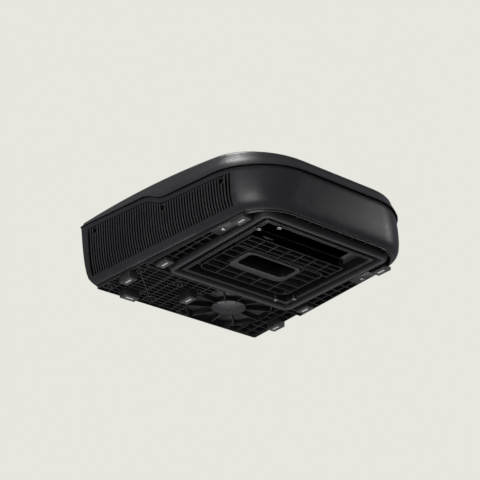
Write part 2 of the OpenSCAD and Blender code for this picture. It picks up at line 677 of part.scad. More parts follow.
// Flat band behind the outlet, up to the first pockets
out_band = 28;
module air_guide() color([0.1, 0.1, 0.11]) difference() {
  union() {
    translate([0, 0, guide_floor]) linear_extrude(3) square(2 * guide_out, center = true);
    // frame that carries the ring strip
    translate([0, 0, ring_z + ring_t]) linear_extrude(guide_floor - ring_z - ring_t + EPS)
      ring_2d(guide_out, guide_out - 3);
    translate([0, 0, ring_z + ring_t]) linear_extrude(3) ring_2d(guide_out, ring_out - ring_w);
    translate([0, 0, ring_z + ring_t]) linear_extrude(guide_floor - ring_z - ring_t + EPS)
      ring_2d(ring_out - ring_w + 2.6, ring_out - ring_w);
    // fine grid between the two air ways
    translate([0, 0, 8]) linear_extrude(guide_floor - 8 + EPS) intersection() {
      union() {
        for (i = [0:3]) translate([-guide_out, ret_y1 + 7 + 24 * i - 1.1]) square([2 * guide_out, 2.2]);
        for (i = [-3.5:3.5]) translate([i * (guide_out - 31) / 3.5 - 1.1, ret_y1 + 6]) square([2.2, 75]);
      }
      translate([30 - guide_out, ret_y1 + 4]) square([2 * guide_out - 60, 77]);
    }
    // pockets left, right and behind the outlet
    translate([0, 0, 9]) linear_extrude(guide_floor - 9 + EPS) {
      pocket_x0 = 30 - guide_out;
      pocket_x1 = guide_out - 42;
      pocket_y0 = out_y0 - 19;
      pocket_y1 = guide_out - 40;
      difference() {
        rounded_2d(pocket_x0, pocket_y0, pocket_x1, pocket_y1, 24);
        rounded_2d(pocket_x0 + 2.4, pocket_y0 + 2.4, pocket_x1 - 2.4, pocket_y1 - 2.4, 21.6);
      }
      for (x = [out_x0 - 18, out_x1 + 18]) translate([x - 1.2, pocket_y0 + 8]) square([2.4, 100]);
      for (i = [1:4]) translate([lerp(pocket_x0, pocket_x1, i / 5) - 1.2, out_y1 + out_band])
        square([2.4, pocket_y1 - out_y1 - out_band - 1]);
      for (y = [out_y1 + out_band, lerp(out_y1 + out_band, pocket_y1, 0.5)])
        translate([pocket_x0 + 1, y - 1.2])
        square([pocket_x1 - pocket_x0 - 2, 2.4]);
      for (y = [out_y0 + 21, out_y0 + 53]) {
        translate([pocket_x0 + 1, y - 1.2]) square([out_x0 - 18 - pocket_x0, 2.4]);
        translate([out_x1 + 18, y - 1.2]) square([pocket_x1 - out_x1 - 19, 2.4]);
      }
    }
    // raised rim of the supply outlet
    translate([0, 0, ring_z - 1]) linear_extrude(guide_floor - ring_z + 1 + EPS)
      rounded_2d(out_x0 - out_rim, out_y0 - 8, out_x1 + out_rim, out_y1 + out_band, out_r + 8);
    for (s = INSERTS) translate([s.x, s.y, insert_mouth + 1])
      cylinder(h = guide_floor - insert_mouth, r = insert_r + insert_wall);
  }
  translate([0, 0, -5]) linear_extrude(60) rounded_2d(out_x0, out_y0, out_x1, out_y1, out_r);
  translate([ret_x0, ret_y0, -5]) cube([ret_x1 - ret_x0, ret_y1 - ret_y0, 60]);
  for (s = INSERTS) translate([s.x, s.y, 0]) cylinder(h = 60, r = insert_r);
  translate([gland_x, gland_y, 0]) cylinder(h = 60, r = gland_r + 0.2);
}

module vent_ring() color([0.12, 0.12, 0.13]) translate([0, 0, ring_z]) linear_extrude(ring_t) difference() {
  ring_2d(ring_out, ring_out - ring_w + 0.5);
  for (a = [0:90:270]) rotate(a) for (i = [-21:21])
    translate([i * 8.4 - 2, ring_out - 9]) square([4, 6]);
  for (s = INSERTS) translate(s) circle(insert_r + insert_wall + 0.4);
}

insert_r = 6;
// Plastic boss round each insert
insert_wall = 2;
insert_bore = 3.4;
insert_mouth = 1;
insert_depth = 33;
insert_in = opening / 2 - 13;
insert_side = opening / 2 - 53;
// Two at the front left corner, two at the rear right corner
INSERTS = [
  [-insert_in, -insert_side], [-insert_side, -insert_in], [insert_in, insert_side], [insert_side, insert_in]
];
module clamp_inserts() color([0.75, 0.75, 0.76]) for (s = INSERTS)
  translate([s.x, s.y, insert_mouth]) difference() {
    union() {
      cylinder(h = guide_floor + 4 - insert_mouth, r = insert_r - 0.1);
      translate([0, 0, guide_floor + 3.1 - insert_mouth]) cylinder(h = 3, r = insert_r + 4);
    }
    translate([0, 0, -EPS]) cylinder(h = insert_depth + EPS, r = insert_bore);
  }

// ---------- fasteners and small outer pieces ----------
// Ledges in the three catch windows of each side
catch_drop = 24;
module lid_catches() color([0.16, 0.16, 0.17]) for (side = [0, 1]) mirror([side, 0, 0])
  for (k = CATCH_BARS) {
    y0 = bar_y(k - 1) + louvre_bar + 0.15;
    length = bar_y(k + 1) - 0.15 - y0;
    z = louvre_z1(y0) - catch_drop;
    x = wall_x(y0, level(y0, z));
    translate([x - 8, y0, z]) cube([7.4, length, 2.4]);
    translate([x - 8, y0 + length / 2 - 3, z]) cube([2.2, 6, 14]);
  }

LID_SCREWS = [for (k = [-1, -1 / 3, 1 / 3, 1]) k * (half_base - 39)];
lid_screw_up = 4;
lid_screw_z = lid_floor(rear_y(1)) + lid_screw_up;
lid_screw_face = rear_y(1) + lid_over_rear
  - lid_lean_rear * lid_screw_up / (lid_z(rear_y(1)) - lid_r - lid_floor(rear_y(1)));
lid_screw_r = 2;
lid_screw_head = 3.6;
// Each hole has a flat seat for the screw's head
module lid_screw_holes() for (x = LID_SCREWS) {
  along_y(rear_base, rear_base + 60) translate([x, lid_screw_z]) circle(lid_screw_r + 0.3);
  along_y(lid_screw_face - 0.1, rear_base + 60) translate([x, lid_screw_z]) circle(lid_screw_head + 0.5);
}
module lid_screws() color([0.6, 0.6, 0.62]) for (x = LID_SCREWS) {
  along_y(lid_screw_face - 16, lid_screw_face) translate([x, lid_screw_z]) circle(lid_screw_r);
  along_y(lid_screw_face, lid_screw_face + 2) translate([x, lid_screw_z]) circle(lid_screw_head);
}

module tray_screws() color([0.6, 0.6, 0.62]) for (b = FLANGE_BOSSES) translate([b.x, b.y, 0])
  difference() {
    union() {
      translate([0, 0, flange_z - 4]) cylinder(h = 3, r = 6);
      translate([0, 0, flange_z - 1.5]) cylinder(h = 44, r = 2.8);
    }
    for (a = [0, 90]) rotate([0, 0, a]) translate([-3.4, -0.7, flange_z - 5]) cube([6.8, 1.4, 3]);
  }

gland_r = 5.8;
gland_x = opening / 2 - 27;
gland_y = out_y0 + 31;
module cable_gland() color([0.05, 0.05, 0.05]) translate([gland_x, gland_y, 0]) difference() {
  union() {
    translate([0, 0, guide_floor - 5]) cylinder(h = 4.7, r = 9, $fn = 6);
    translate([0, 0, guide_floor - 12]) cylinder(h = 7.2, r = 7);
    translate([0, 0, guide_floor - 1]) cylinder(h = 8, r = gland_r);
    translate([0, 0, guide_floor + 3.3]) cylinder(h = 4, r = 9, $fn = 6);
  }
  cylinder(h = 80, r = 4);
}

module air_sensor() color([0.75, 0.6, 0.3]) {
  translate([ret_x0 + 42, ret_y1 - 7, guide_floor - 22]) rotate([0, 90, 0]) cylinder(h = 34, r = 3);
  translate([ret_x0 + 52, ret_y1 - 5, guide_floor - 23]) cube([12, 4.8, 3]);
}

// ---------- room side ----------
floor_top = floor_z + floor_t;
case_x = opening / 2 + 12;
case_y0 = -opening / 2 - 12;
case_y1 = opening / 2 + 8;
case_top = 186;
case_wall = 6;
bulk_y = case_y1 + 6;
bulk_half = half_base + 11;
bulk_top = 208;
acc_x = 17 - half_base;
suction_z = 190;
cap_x = acc_x + 33;
cap_z = 80;
PIPE_HOLES = [[acc_x, suction_z], [cap_x, cap_z]];
module bulkhead() color([0.62, 0.63, 0.65]) along_y(bulk_y, bulk_y + 2) difference() {
  translate([-bulk_half, floor_top + 0.1]) square([2 * bulk_half, bulk_top - floor_top]);
  for (h = PIPE_HOLES) translate(h) circle(9);
}

module supply_duct() color([0.12, 0.12, 0.13]) translate([0, 0, guide_floor + 3.1])
  linear_extrude(duct_top - guide_floor - 3.1) difference() {
    rounded_2d(out_x0 - 2.5, out_y0 - 2.5, out_x1 + 2.5, out_y1 + 2.5, 8);
    rounded_2d(out_x0, out_y0, out_x1, out_y1, 5.5);
  }

pan_z = guide_floor + 3.1;
coil_y0 = ret_y1 + 9;
coil_y1 = coil_y0 + 44;
coil_x0 = 2 - opening / 2;
coil_x1 = opening / 2 - 40;
coil_z0 = 52;
coil_z1 = 174;
module drip_pan() color([0.35, 0.36, 0.38]) difference() {
  translate([coil_x0 + 14, coil_y0 - 8, pan_z]) cube([coil_x1 - coil_x0 - 8, coil_y1 - coil_y0 + 16, 12]);
  translate([coil_x0 + 16, coil_y0 - 6, pan_z + 2])
    cube([coil_x1 - coil_x0 - 12, coil_y1 - coil_y0 + 12, 12]);
}

tube_r = 4.8;
fin_t = 1.2;
fin_pitch = 9;
coil_rows = 2;
coil_columns = 6;
coil_step = (coil_z1 - coil_z0) / coil_columns;
row_y0 = coil_y0 + (coil_y1 - coil_y0) / (2 * coil_rows);
row_pitch = (coil_y1 - coil_y0) / coil_rows;
// Tube centres across a coil: depth d0 to d1, height z0 to z1
function tube_grid(d0, d1, z0, z1, rows, columns) = [
  for (r = [0:rows - 1]) for (c = [0:columns - 1])
    [d0 + (d1 - d0) * (r + 0.5) / rows, z0 + (z1 - z0) * (c + 0.5) / columns]
];
module fins(x0, x1, d0, d1, z0, z1, rows, columns) {
  count = floor((x1 - x0 - fin_t) / fin_pitch);
  for (i = [0:count]) along_x(x0 + i * fin_pitch, x0 + i * fin_pitch + fin_t) difference() {
    translate([d0, z0]) square([d1 - d0, z1 - z0]);
    for (c = tube_grid(d0, d1, z0, z1, rows, columns)) translate(c) circle(tube_r + 0.15);
  }
}
braze_gap = 0.05;
module hairpin(bend) rotate_extrude(angle = 180, $fn = 32) translate([bend, 0]) circle(tube_r, $fn = 24);
module coil_tubes(x0, x1, d0, d1, z0, z1, rows, columns, first) {
  step = (z1 - z0) / columns;
  for (c = tube_grid(d0, d1, z0, z1, rows, columns)) along_x(x0, x1) translate(c) circle(tube_r);
  // hairpin bends at alternate ends
  for (r = [0:rows - 1]) for (c = [0:columns - 2]) {
    right = c % 2 == first;
    end_x = right ? x1 + braze_gap : x0 - braze_gap;
    translate([end_x, d0 + (d1 - d0) * (r + 0.5) / rows, z0 + step * (c + 1)])
      rotate([90, 0, 0]) rotate([0, 0, right ? -90 : 90]) hairpin(step / 2);
  }
}
module evaporator_fins() color([0.78, 0.79, 0.8])
  fins(coil_x0, coil_x1, coil_y0, coil_y1, coil_z0, coil_z1, coil_rows, coil_columns);
module evaporator_tubes() color([0.72, 0.45, 0.3]) {
  coil_tubes(coil_x0 - 4, coil_x1 + 4, coil_y0, coil_y1, coil_z0, coil_z1, coil_rows, coil_columns, 0);
  // crossover between the two rows
  translate([coil_x0 - 4 - braze_gap, row_y0 + row_pitch / 2, coil_z1 - coil_step / 2])
    rotate([0, 0, 90]) hairpin(row_pitch / 2);
}

module evaporator_case() color([0.12, 0.12, 0.13]) difference() {
  translate([-case_x, case_y0, floor_top + 0.1]) cube([2 * case_x, case_y1 - case_y0, case_top - floor_top]);
  translate([-case_x + case_wall, case_y0 + case_wall, 0])
    cube([2 * (case_x - case_wall), case_y1 - case_y0 - 2 * case_wall, case_top - case_wall]);
  // the coil's end bends stand out on the left
  translate([-case_x - 1, coil_y0 - 4, 0]) cube([case_wall + 2, coil_y1 - coil_y0 + 8, coil_z1 + 2]);
}

wheel_x = (out_x0 + out_x1) / 2;
wheel_y = out_y1 + 5;
wheel_z = 107;
scroll_w = wheel_w + 16;
scroll_r0 = wheel_r + 4;
duct_top = guide_floor + 12;
// Growth of the scroll from its cut-off, clockwise seen from +X
scroll_r1 = wheel_y - out_y0;
function scroll_r(a) = lerp(scroll_r0, scroll_r1, a / 270);
module scroll_2d(grow) {
  polygon(concat(
    [for (a = [0:10:270]) let (r = scroll_r(a) + grow, s = -90 + a)
      [wheel_y + r * cos(s), wheel_z + r * sin(s)]],
    [[out_y0 - grow, duct_top + 0.2], [out_y1 + grow, duct_top + 0.2]]
  ));
}
module blower_scroll() color([0.2, 0.2, 0.21]) {
  x0 = wheel_x - scroll_w / 2;
  x1 = wheel_x + scroll_w / 2;
  along_x(x0, x1) difference() {
    scroll_2d(0);
    intersection() {
      scroll_2d(-2.5);
      translate([-400, duct_top - 1]) square([800, 400]);
    }
    translate([out_y0 + 2.5, duct_top - 2]) square([out_y1 - out_y0 - 5, 20]);
  }
  for (x = [x0, x1 - 2.5]) along_x(x, x + 2.5) difference() {
    scroll_2d(0);
    translate([wheel_y, wheel_z]) circle(wheel_r - 12);
  }
}
module blower_wheel() color([0.85, 0.85, 0.84]) {
  x0 = wheel_x - wheel_w / 2;
  translate([x0, wheel_y, wheel_z]) rotate([0, 90, 0]) {
    for (h = [0, wheel_w - 3]) translate([0, 0, h]) difference() {
      cylinder(h = 3, r = wheel_r);
      translate([0, 0, -1]) cylinder(h = 5, r = wheel_r - 11);
    }
    translate([0, 0, wheel_w / 2 - 1.5]) difference() {
      cylinder(h = 3, r = wheel_r);
      translate([0, 0, -1]) cylinder(h = 5, r = shaft_r + 0.02);
    }
    translate([0, 0, wheel_w / 2 - 16]) difference() {
      cylinder(h = 32, r = 12);
      translate([0, 0, -1]) cylinder(h = 34, r = shaft_r + 0.02);
    }
    for (i = [0:wheel_blades - 1]) rotate([0, 0, 360 * i / wheel_blades])
      translate([wheel_r - 6, 0, 0]) rotate([0, 0, 25]) translate([-5, -0.8, 0])
        cube([9.6, 1.6, wheel_w]);
  }
}
blower_motor_x = wheel_x + scroll_w / 2 + 14;
motor_l = 62;
module blower_shaft() color([0.7, 0.7, 0.72]) along_x(wheel_x - 22, blower_motor_x + motor_l - 6)
  translate([wheel_y, wheel_z]) circle(shaft_r);
module blower_motor() color([0.3, 0.3, 0.32]) {
  difference() {
    union() {
      translate([blower_motor_x, wheel_y, wheel_z]) rotate([0, 90, 0]) rotate_extrude()
        polygon([[0, 0], [14, 0], [14, 5], [34, 5], [38, 9], [38, motor_l - 6], [34, motor_l], [0, motor_l]]);
      translate([blower_motor_x + 14, wheel_y - 26, floor_top - 11]) cube([30, 52, wheel_z - floor_top - 18]);
    }
    translate([blower_motor_x - 1, wheel_y, wheel_z]) rotate([0, 90, 0])
      cylinder(h = motor_l - 3, r = shaft_r + shaft_play);
  }
}

// ---------- outdoor side ----------
cond_y0 = rear_base - 28;
cond_y1 = rear_base - 5;
cond_x = half_base - 1;
cond_z0 = floor_top + 6;
cond_z1 = 196;
cond_columns = 7;
cond_step = (cond_z1 - cond_z0) / cond_columns;
cond_y = (cond_y0 + cond_y1) / 2;
module condenser_fins() color([0.78, 0.79, 0.8])
  fins(-cond_x, cond_x, cond_y0, cond_y1, cond_z0, cond_z1, 1, cond_columns);
module condenser_tubes() color([0.72, 0.45, 0.3])
  coil_tubes(-cond_x - 4, cond_x + 4, cond_y0, cond_y1, cond_z0, cond_z1, 1, cond_columns, 1);

fan_z = 104;
deck_z = fan_z + fan_h + 14;
fan_eye = 0.6;
deck_x0 = fan_x - 106;
deck_x1 = fan_x + 106;
deck_y0 = fan_y - 96;
deck_y1 = fan_y + 88;
module fan_shroud() color([0.14, 0.14, 0.15]) {
  difference() {
    translate([deck_x0, deck_y0, deck_z]) cube([deck_x1 - deck_x0, deck_y1 - deck_y0, 3]);
    translate([fan_x, fan_y, deck_z - 1]) cylinder(h = 6, r = fan_r * fan_eye - 3);
  }
  translate([fan_x, fan_y, deck_z - 5]) difference() {
    cylinder(h = 6, r = fan_r * fan_eye);
    translate([0, 0, -1]) cylinder(h = 8, r = fan_r * fan_eye - 3);
  }
  for (x = [deck_x0, deck_x1 - 8]) for (y = [deck_y0, deck_y1 - 8])
    translate([x, y, floor_top + 0.1]) cube([8, 8, deck_z - floor_top]);
}
blade_t = 2.4;
blade_sweep = -44;
// Point on one face of the blade, at radius r and share s of the sweep
function blade_point(r, s, side) =
  let (a = blade_sweep * s + side * asin(blade_t / 2 / r)) [r * cos(a), r * sin(a)];
// Backward-swept blade from inside the eye to just short of the rim
module fan_blade_2d() {
  steps = 8;
  r0 = fan_r * 0.42;
  r1 = fan_r - 2;
  polygon(concat(
    [for (i = [0:steps]) blade_point(lerp(r0, r1, i / steps), i / steps, -1)],
    [for (i = [steps:-1:0]) blade_point(lerp(r0, r1, i / steps), i / steps, 1)]
  ));
}
module condenser_fan() color([0.2, 0.2, 0.21]) translate([fan_x, fan_y, fan_z]) {
  difference() {
    union() {
      cylinder(h = 3, r = fan_r);
      cylinder(h = 24, r = 20);
    }
    translate([0, 0, -1]) cylinder(h = 30, r = shaft_r + 0.02);
  }
  for (i = [0:fan_blades - 1]) rotate([0, 0, 360 * i / fan_blades])
    translate([0, 0, 1.5]) linear_extrude(fan_h) fan_blade_2d();
  translate([0, 0, fan_h]) difference() {
    cylinder(h = 2.5, r = fan_r);
    translate([0, 0, -1]) cylinder(h = 5, r = fan_r * fan_eye + 3);
  }
}
fan_motor_z = floor_top + 8.2;
fan_motor_l = fan_z - fan_motor_z - 6;
module fan_shaft() color([0.7, 0.7, 0.72]) translate([fan_x, fan_y, fan_motor_z + 6])
  cylinder(h = fan_z + 24 - fan_motor_z, r = shaft_r);
module fan_motor() color([0.3, 0.3, 0.32]) translate([fan_x, fan_y, fan_motor_z]) difference() {
  rotate_extrude() polygon([
    [0, 0], [40, 0], [44, 4], [44, fan_motor_l - 9], [40, fan_motor_l - 5],
    [16, fan_motor_l - 5], [16, fan_motor_l], [0, fan_motor_l]
  ]);
  translate([0, 0, 4]) cylinder(h = fan_motor_l, r = shaft_r + shaft_play);
}
module motor_bracket() color([0.62, 0.63, 0.65]) translate([fan_x, fan_y, floor_top + 0.1]) {
  for (a = [45:90:315]) rotate([0, 0, a]) translate([30, -9, 0]) cube([44, 18, 3]);
  difference() {
    cylinder(h = 8, r = 46);
    translate([0, 0, -1]) cylinder(h = 10, r = 34);
  }
}

comp_y0 = comp_y - 10;
comp_l = 152;
comp_r = 56;
cradle_z = floor_top + 20;
comp_z = cradle_z + 6 + comp_r;
mount_bolt_r = 5;
module compressor() color([0.07, 0.07, 0.07]) translate([comp_x, comp_y0, comp_z]) {
  rotate([-90, 0, 0]) rotate_extrude() polygon(concat(
    [[0, 0]],
    [for (a = [0:10:90]) [comp_r - 18 + 18 * sin(a), 18 - 18 * cos(a)]],
    [for (a = [0:10:90]) [comp_r - 18 + 18 * cos(a), comp_l - 18 + 18 * sin(a)]],
    [[0, comp_l]]
  ));
  translate([0, comp_l * 0.75, 0]) cylinder(h = comp_r + 8, r = 8);
  translate([0, comp_l * 0.35, 0]) cylinder(h = comp_r + 12, r = 16);
}
module compressor_cradle() color([0.62, 0.63, 0.65]) {
  difference() {
    translate([comp_x - 94, comp_y - 16, cradle_z]) cube([188, 176, 3]);
    for (m = MOUNTS) translate([m.x, m.y, cradle_z - 1]) cylinder(h = 6, r = mount_bolt_r + 0.3);
    translate([comp_x - 45, comp_y + 28, cradle_z - 1]) cube([90, 90, 6]);
  }
  for (y = [comp_y0 + 26, comp_y0 + comp_l - 34]) along_y(y, y + 5) difference() {
    translate([comp_x - comp_r, cradle_z + 2]) square([2 * comp_r, comp_r * 0.6]);
    translate([comp_x, comp_z]) circle(comp_r + 0.3);
  }
}
module rubber_mounts() color([0.03, 0.03, 0.03]) for (m = MOUNTS) translate([m.x, m.y, floor_top + 0.1])
  difference() {
    rotate_extrude() polygon([
      [0, 0], [14, 0], [14, 7], [11, 8.5], [11, 11], [14, 12.5], [14, 19.6], [0, 19.6]
    ]);
    translate([0, 0, -1]) cylinder(h = 30, r = mount_bolt_r + 0.2);
  }
module mount_bolts() color([0.6, 0.6, 0.62]) for (m = MOUNTS) translate([m.x, m.y, 0]) {
  translate([0, 0, rib_z + 7]) cylinder(h = cradle_z + 14 - rib_z - 7, r = mount_bolt_r);
  translate([0, 0, cradle_z + 3.2]) cylinder(h = 7, r = 9, $fn = 6);
}

// Tube through the points, with ball corners
module tube(points, r) {
  for (i = [0:len(points) - 2]) {
    v = points[i + 1] - points[i];
    translate(points[i]) rotate([0, acos(v.z / norm(v)), atan2(v.y, v.x)]) cylinder(h = norm(v), r = r);
    if (i > 0) translate(points[i]) sphere(r);
  }
}
acc_y = bulk_y + 38;
acc_r = 22;
acc_z0 = floor_top + 12;
acc_l = 104;
module accumulator() color([0.07, 0.07, 0.07]) translate([acc_x, acc_y, acc_z0]) rotate_extrude()
  polygon(concat(
    [[0, 0]],
    [for (a = [0:15:90]) [acc_r - 12 + 12 * sin(a), 12 - 12 * cos(a)]],
    [for (a = [0:15:90]) [acc_r - 12 + 12 * cos(a), acc_l - 12 + 12 * sin(a)]],
    [[0, acc_l]]
  ));
pipe_r = 5;
thin_r = 3.5;
cap_r = 2.4;
joint_gap = 0.2;
coil_end = coil_x0 - 4 - joint_gap;
coil_low = coil_z0 + coil_step / 2;
module suction_pipe() color([0.72, 0.45, 0.3]) {
  y = row_y0 + row_pitch;
  drop_x = acc_x + 20;
  tube([
    [acc_x, acc_y, acc_z0 + acc_l + joint_gap], [acc_x, acc_y, suction_z], [acc_x, y, suction_z],
    [drop_x, y, suction_z], [drop_x, y, coil_low], [coil_end, y, coil_low]
  ], pipe_r);
}
cond_pipe_x = cond_x + 16;
module discharge_pipe() color([0.72, 0.45, 0.3]) {
  y = comp_y0 + comp_l * 0.75;
  top = 206;
  tube([
    [comp_x, y, comp_z + comp_r + 8 + joint_gap], [comp_x, y, top], [-cond_pipe_x, y, top],
    [-cond_pipe_x, cond_y, top], [-cond_pipe_x, cond_y, cond_z1 - cond_step / 2],
    [-cond_x - 4 - joint_gap, cond_y, cond_z1 - cond_step / 2]
  ], thin_r);
}
drier_y = bulk_y + 48;
drier_z = 92;
drier_x = 129 - half_base;
drier_l = 70;
module filter_drier() color([0.72, 0.45, 0.3]) translate([drier_x, drier_y, drier_z]) rotate([0, 90, 0])
  rotate_extrude() polygon([[0, 0], [5, 0], [13, 12], [13, drier_l - 12], [5, drier_l], [0, drier_l]]);
module liquid_pipe() color([0.72, 0.45, 0.3]) {
  z = cond_z0 + cond_step / 2;
  tube([
    [cond_x + 4 + joint_gap, cond_y, z], [cond_pipe_x, cond_y, z], [cond_pipe_x, drier_y, z],
    [cond_pipe_x, drier_y, drier_z], [drier_x + drier_l + joint_gap, drier_y, drier_z]
  ], thin_r);
}
cap_turns = 4;
cap_turn_r = 24;
module capillary_coil() color([0.72, 0.45, 0.3]) {
  turn_x = cap_x + cap_turn_r + 5;
  turn_y = drier_y - 12;
  for (i = [0:cap_turns - 1]) translate([turn_x, turn_y, drier_z + i * 4.6]) rotate_extrude()
    translate([cap_turn_r, 0]) circle(cap_r);
  tube([
    [drier_x - joint_gap, drier_y, drier_z], [drier_x - 10, drier_y, drier_z],
    [turn_x + cap_turn_r, turn_y + 6, drier_z]
  ], cap_r);
  tube([
    [turn_x - cap_turn_r, turn_y, drier_z], [cap_x, turn_y, drier_z], [cap_x, turn_y, cap_z],
    [cap_x, row_y0, cap_z], [cap_x, row_y0, coil_low], [coil_end, row_y0, coil_low]
  ], cap_r);
}

box_x0 = case_x + 10;
box_x1 = box_x0 + 54;
box_y0 = 150 - opening / 2;
box_y1 = box_y0 + 200;
box_top = 150;
module control_box() color([0.62, 0.63, 0.65]) difference() {
  translate([box_x0, box_y0, floor_top + 0.1]) cube([box_x1 - box_x0, box_y1 - box_y0, box_top - floor_top]);
  translate([box_x0 + 1.5, box_y0 + 1.5, floor_top + 1.6])
    cube([box_x1 - box_x0 - 3, box_y1 - box_y0 - 3, box_top]);
}
module control_box_cover() color([0.62, 0.63, 0.65]) translate([box_x0 - 1, box_y0 - 1, box_top + 0.3])
  cube([box_x1 - box_x0 + 2, box_y1 - box_y0 + 2, 1.5]);
module control_board() color([0.1, 0.3, 0.16]) {
  z = floor_top + 8;
  translate([box_x0 + 5, box_y0 + 6, z]) cube([box_x1 - box_x0 - 10, 120, 1.6]);
  for (p = [
    [8, 10, 16, 12, 14], [30, 12, 13, 16, 18], [10, 40, 12, 30, 8],
    [30, 44, 13, 14, 22], [30, 76, 13, 26, 12], [10, 84, 10, 10, 16]
  ])
    translate([box_x0 + p[0], box_y0 + p[1], z + 1.5]) cube([p[2], p[3], p[4]]);
  for (x = [box_x0 + 9, box_x1 - 13]) for (y = [box_y0 + 10, box_y0 + 118])
    translate([x, y, floor_top + 1.7]) cylinder(h = z - floor_top - 1.6, r = 3);
}
module run_capacitor() color([0.75, 0.75, 0.76]) translate([box_x0 + 30, box_y1 - 26, floor_top + 1.7]) {
  cylinder(h = 72, r = 19);
  for (x = [-7, 7]) translate([x - 3, -0.5, 71]) cube([6, 1, 9]);
}
module terminal_block() color([0.85, 0.84, 0.8]) translate([box_x0 + 6, box_y0 + 131, floor_top + 1.7])
  for (i = [0:4]) translate([i * 0.01, 0, i * 9]) cube([5, 18, 9]);

module lid_liner() color([0.05, 0.05, 0.06]) {
  insets = [270, 180, 110, 60];
  gap = lid_wall + 0.4;
  rings = concat(
    [for (d = insets) lid_top_ring(d, gap)],
    [for (i = [len(insets) - 1:-1:0]) lid_top_ring(insets[i], gap + 5)]
  );
  n = len(rings[0]);
  polyhedron(
    [for (r = rings) each r],
    concat(band_faces(n, len(rings)), cap_faces(n, 0, true), cap_faces(n, n * (len(rings) - 1), false)),
    convexity = 4
  );
}

base_tray();
air_guide();
vent_ring();
roof_seal();
spacer_pads();
clamp_inserts();
mid_shell();
left_louvres();
right_louvres();
rear_grille();
lid();
lid_liner();
lid_catches();
lid_screws();
tray_screws();
cable_gland();
supply_duct();
bulkhead();
drip_pan();
evaporator_fins();
evaporator_tubes();
evaporator_case();
blower_scroll();
blower_wheel();
blower_shaft();
blower_motor();
condenser_fins();
condenser_tubes();
fan_shroud();
condenser_fan();
fan_shaft();
fan_motor();
motor_bracket();
compressor();
compressor_cradle();
rubber_mounts();
mount_bolts();
accumulator();
suction_pipe();
discharge_pipe();
liquid_pipe();
capillary_coil();
filter_drier();
control_box();
control_box_cover();
control_board();
run_capacitor();
terminal_block();
air_sensor();
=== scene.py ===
"""Rooftop air conditioner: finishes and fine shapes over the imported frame."""

import math

import bpy
from bpy.props import FloatProperty, FloatVectorProperty, PointerProperty
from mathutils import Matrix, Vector
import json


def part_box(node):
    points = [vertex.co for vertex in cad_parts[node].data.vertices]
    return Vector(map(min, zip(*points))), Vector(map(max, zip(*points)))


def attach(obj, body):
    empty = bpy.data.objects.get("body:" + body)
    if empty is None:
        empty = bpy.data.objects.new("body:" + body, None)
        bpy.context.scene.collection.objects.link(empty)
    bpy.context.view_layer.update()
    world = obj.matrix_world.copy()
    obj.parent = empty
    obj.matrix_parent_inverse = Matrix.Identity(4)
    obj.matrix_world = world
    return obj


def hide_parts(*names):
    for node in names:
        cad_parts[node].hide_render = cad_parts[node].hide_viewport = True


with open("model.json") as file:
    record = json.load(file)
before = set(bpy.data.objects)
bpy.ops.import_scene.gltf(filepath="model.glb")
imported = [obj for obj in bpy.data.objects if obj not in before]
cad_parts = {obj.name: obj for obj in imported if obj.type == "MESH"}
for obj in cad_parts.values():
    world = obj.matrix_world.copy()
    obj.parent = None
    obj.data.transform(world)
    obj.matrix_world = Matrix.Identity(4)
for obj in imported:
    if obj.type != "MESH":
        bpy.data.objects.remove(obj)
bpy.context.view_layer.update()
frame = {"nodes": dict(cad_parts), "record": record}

bl_info = {
    "name": "Rooftop air conditioner",
    "version": (1, 0, 0),
    "blender": (4, 5, 0),
    "location": "View3D > Sidebar > Rooftop unit",
    "description": "Finishes and fine shapes for a vehicle rooftop air conditioner",
    "category": "Object",
}

NODES = frame["nodes"]
UNIT = "unit"
BODY_OF = {n: body for body, names in frame["record"]["behaviour"]["bodies"].items() for n in names}
SLOT_OF = {s["node"]: s["material_slot"] for s in frame["record"]["subparts"]}
MERGE_DISTANCE = 0.00001

# pieces that the frame doesn't hold, in metres
LID_SCREW_SEAT, LID_SCREW_RIM, LID_SCREW_HEIGHT = 0.0019, 0.0002, 0.0022
TRAY_SCREW_SEAT, TRAY_SCREW_RIM, TRAY_SCREW_HEIGHT = 0.0029, 0.0003, 0.0032
PAD_BAR_HALF_WIDTH, PAD_BAR_END_GAP = 0.0036, 0.0125
PAD_BAR_LOW, PAD_BAR_HIGH = -0.0002, 0.0011
PAD_BAR_RIM, PAD_BAR_SINK = 0.0012, 0.00015
SMALL_BEVEL = 0.0004
FIN_THICKNESS, FIN_FOLD = 0.0002, 0.35
SEAM_HEIGHTS, SEAM_RADIUS = (0.32, 0.72), 0.0013
# corners of a near-black strip that paints the shade behind the return opening
RETURN_SHADE_STRIP = (-0.169, -0.0965, 0.009), (0.15, -0.0953, 0.0335)

# the stage
FLOOR_SIZE, FLOOR_DROP, FLOOR_GLOW = 30.0, -0.001, 0.45
ROOM_COLOUR, ROOM_STRENGTH = (0.9, 0.92, 1.0, 1), 0.18
LIGHT_TARGET = (0.0, 0.1, 0.12)
# name: place, size, power
LIGHTS = {
    "key_front_right": ((2.6, -2.0, 0.9), (0.9, 1.4), 17),
    "top_soft": ((-1.0, 0.35, 2.5), (0.9, 0.9), 38),
    "left_fill": ((-2.8, -1.0, 0.2), (1.8, 1.8), 38),
    "under_soft": ((0.4, 0.8, -2.6), (2.6, 2.6), 56),
}
CAMERA_PLACE = (-2.4972, -2.9972, -1.8848)
CAMERA_AZIMUTH, CAMERA_RISE = math.radians(38.209), math.radians(26.812)


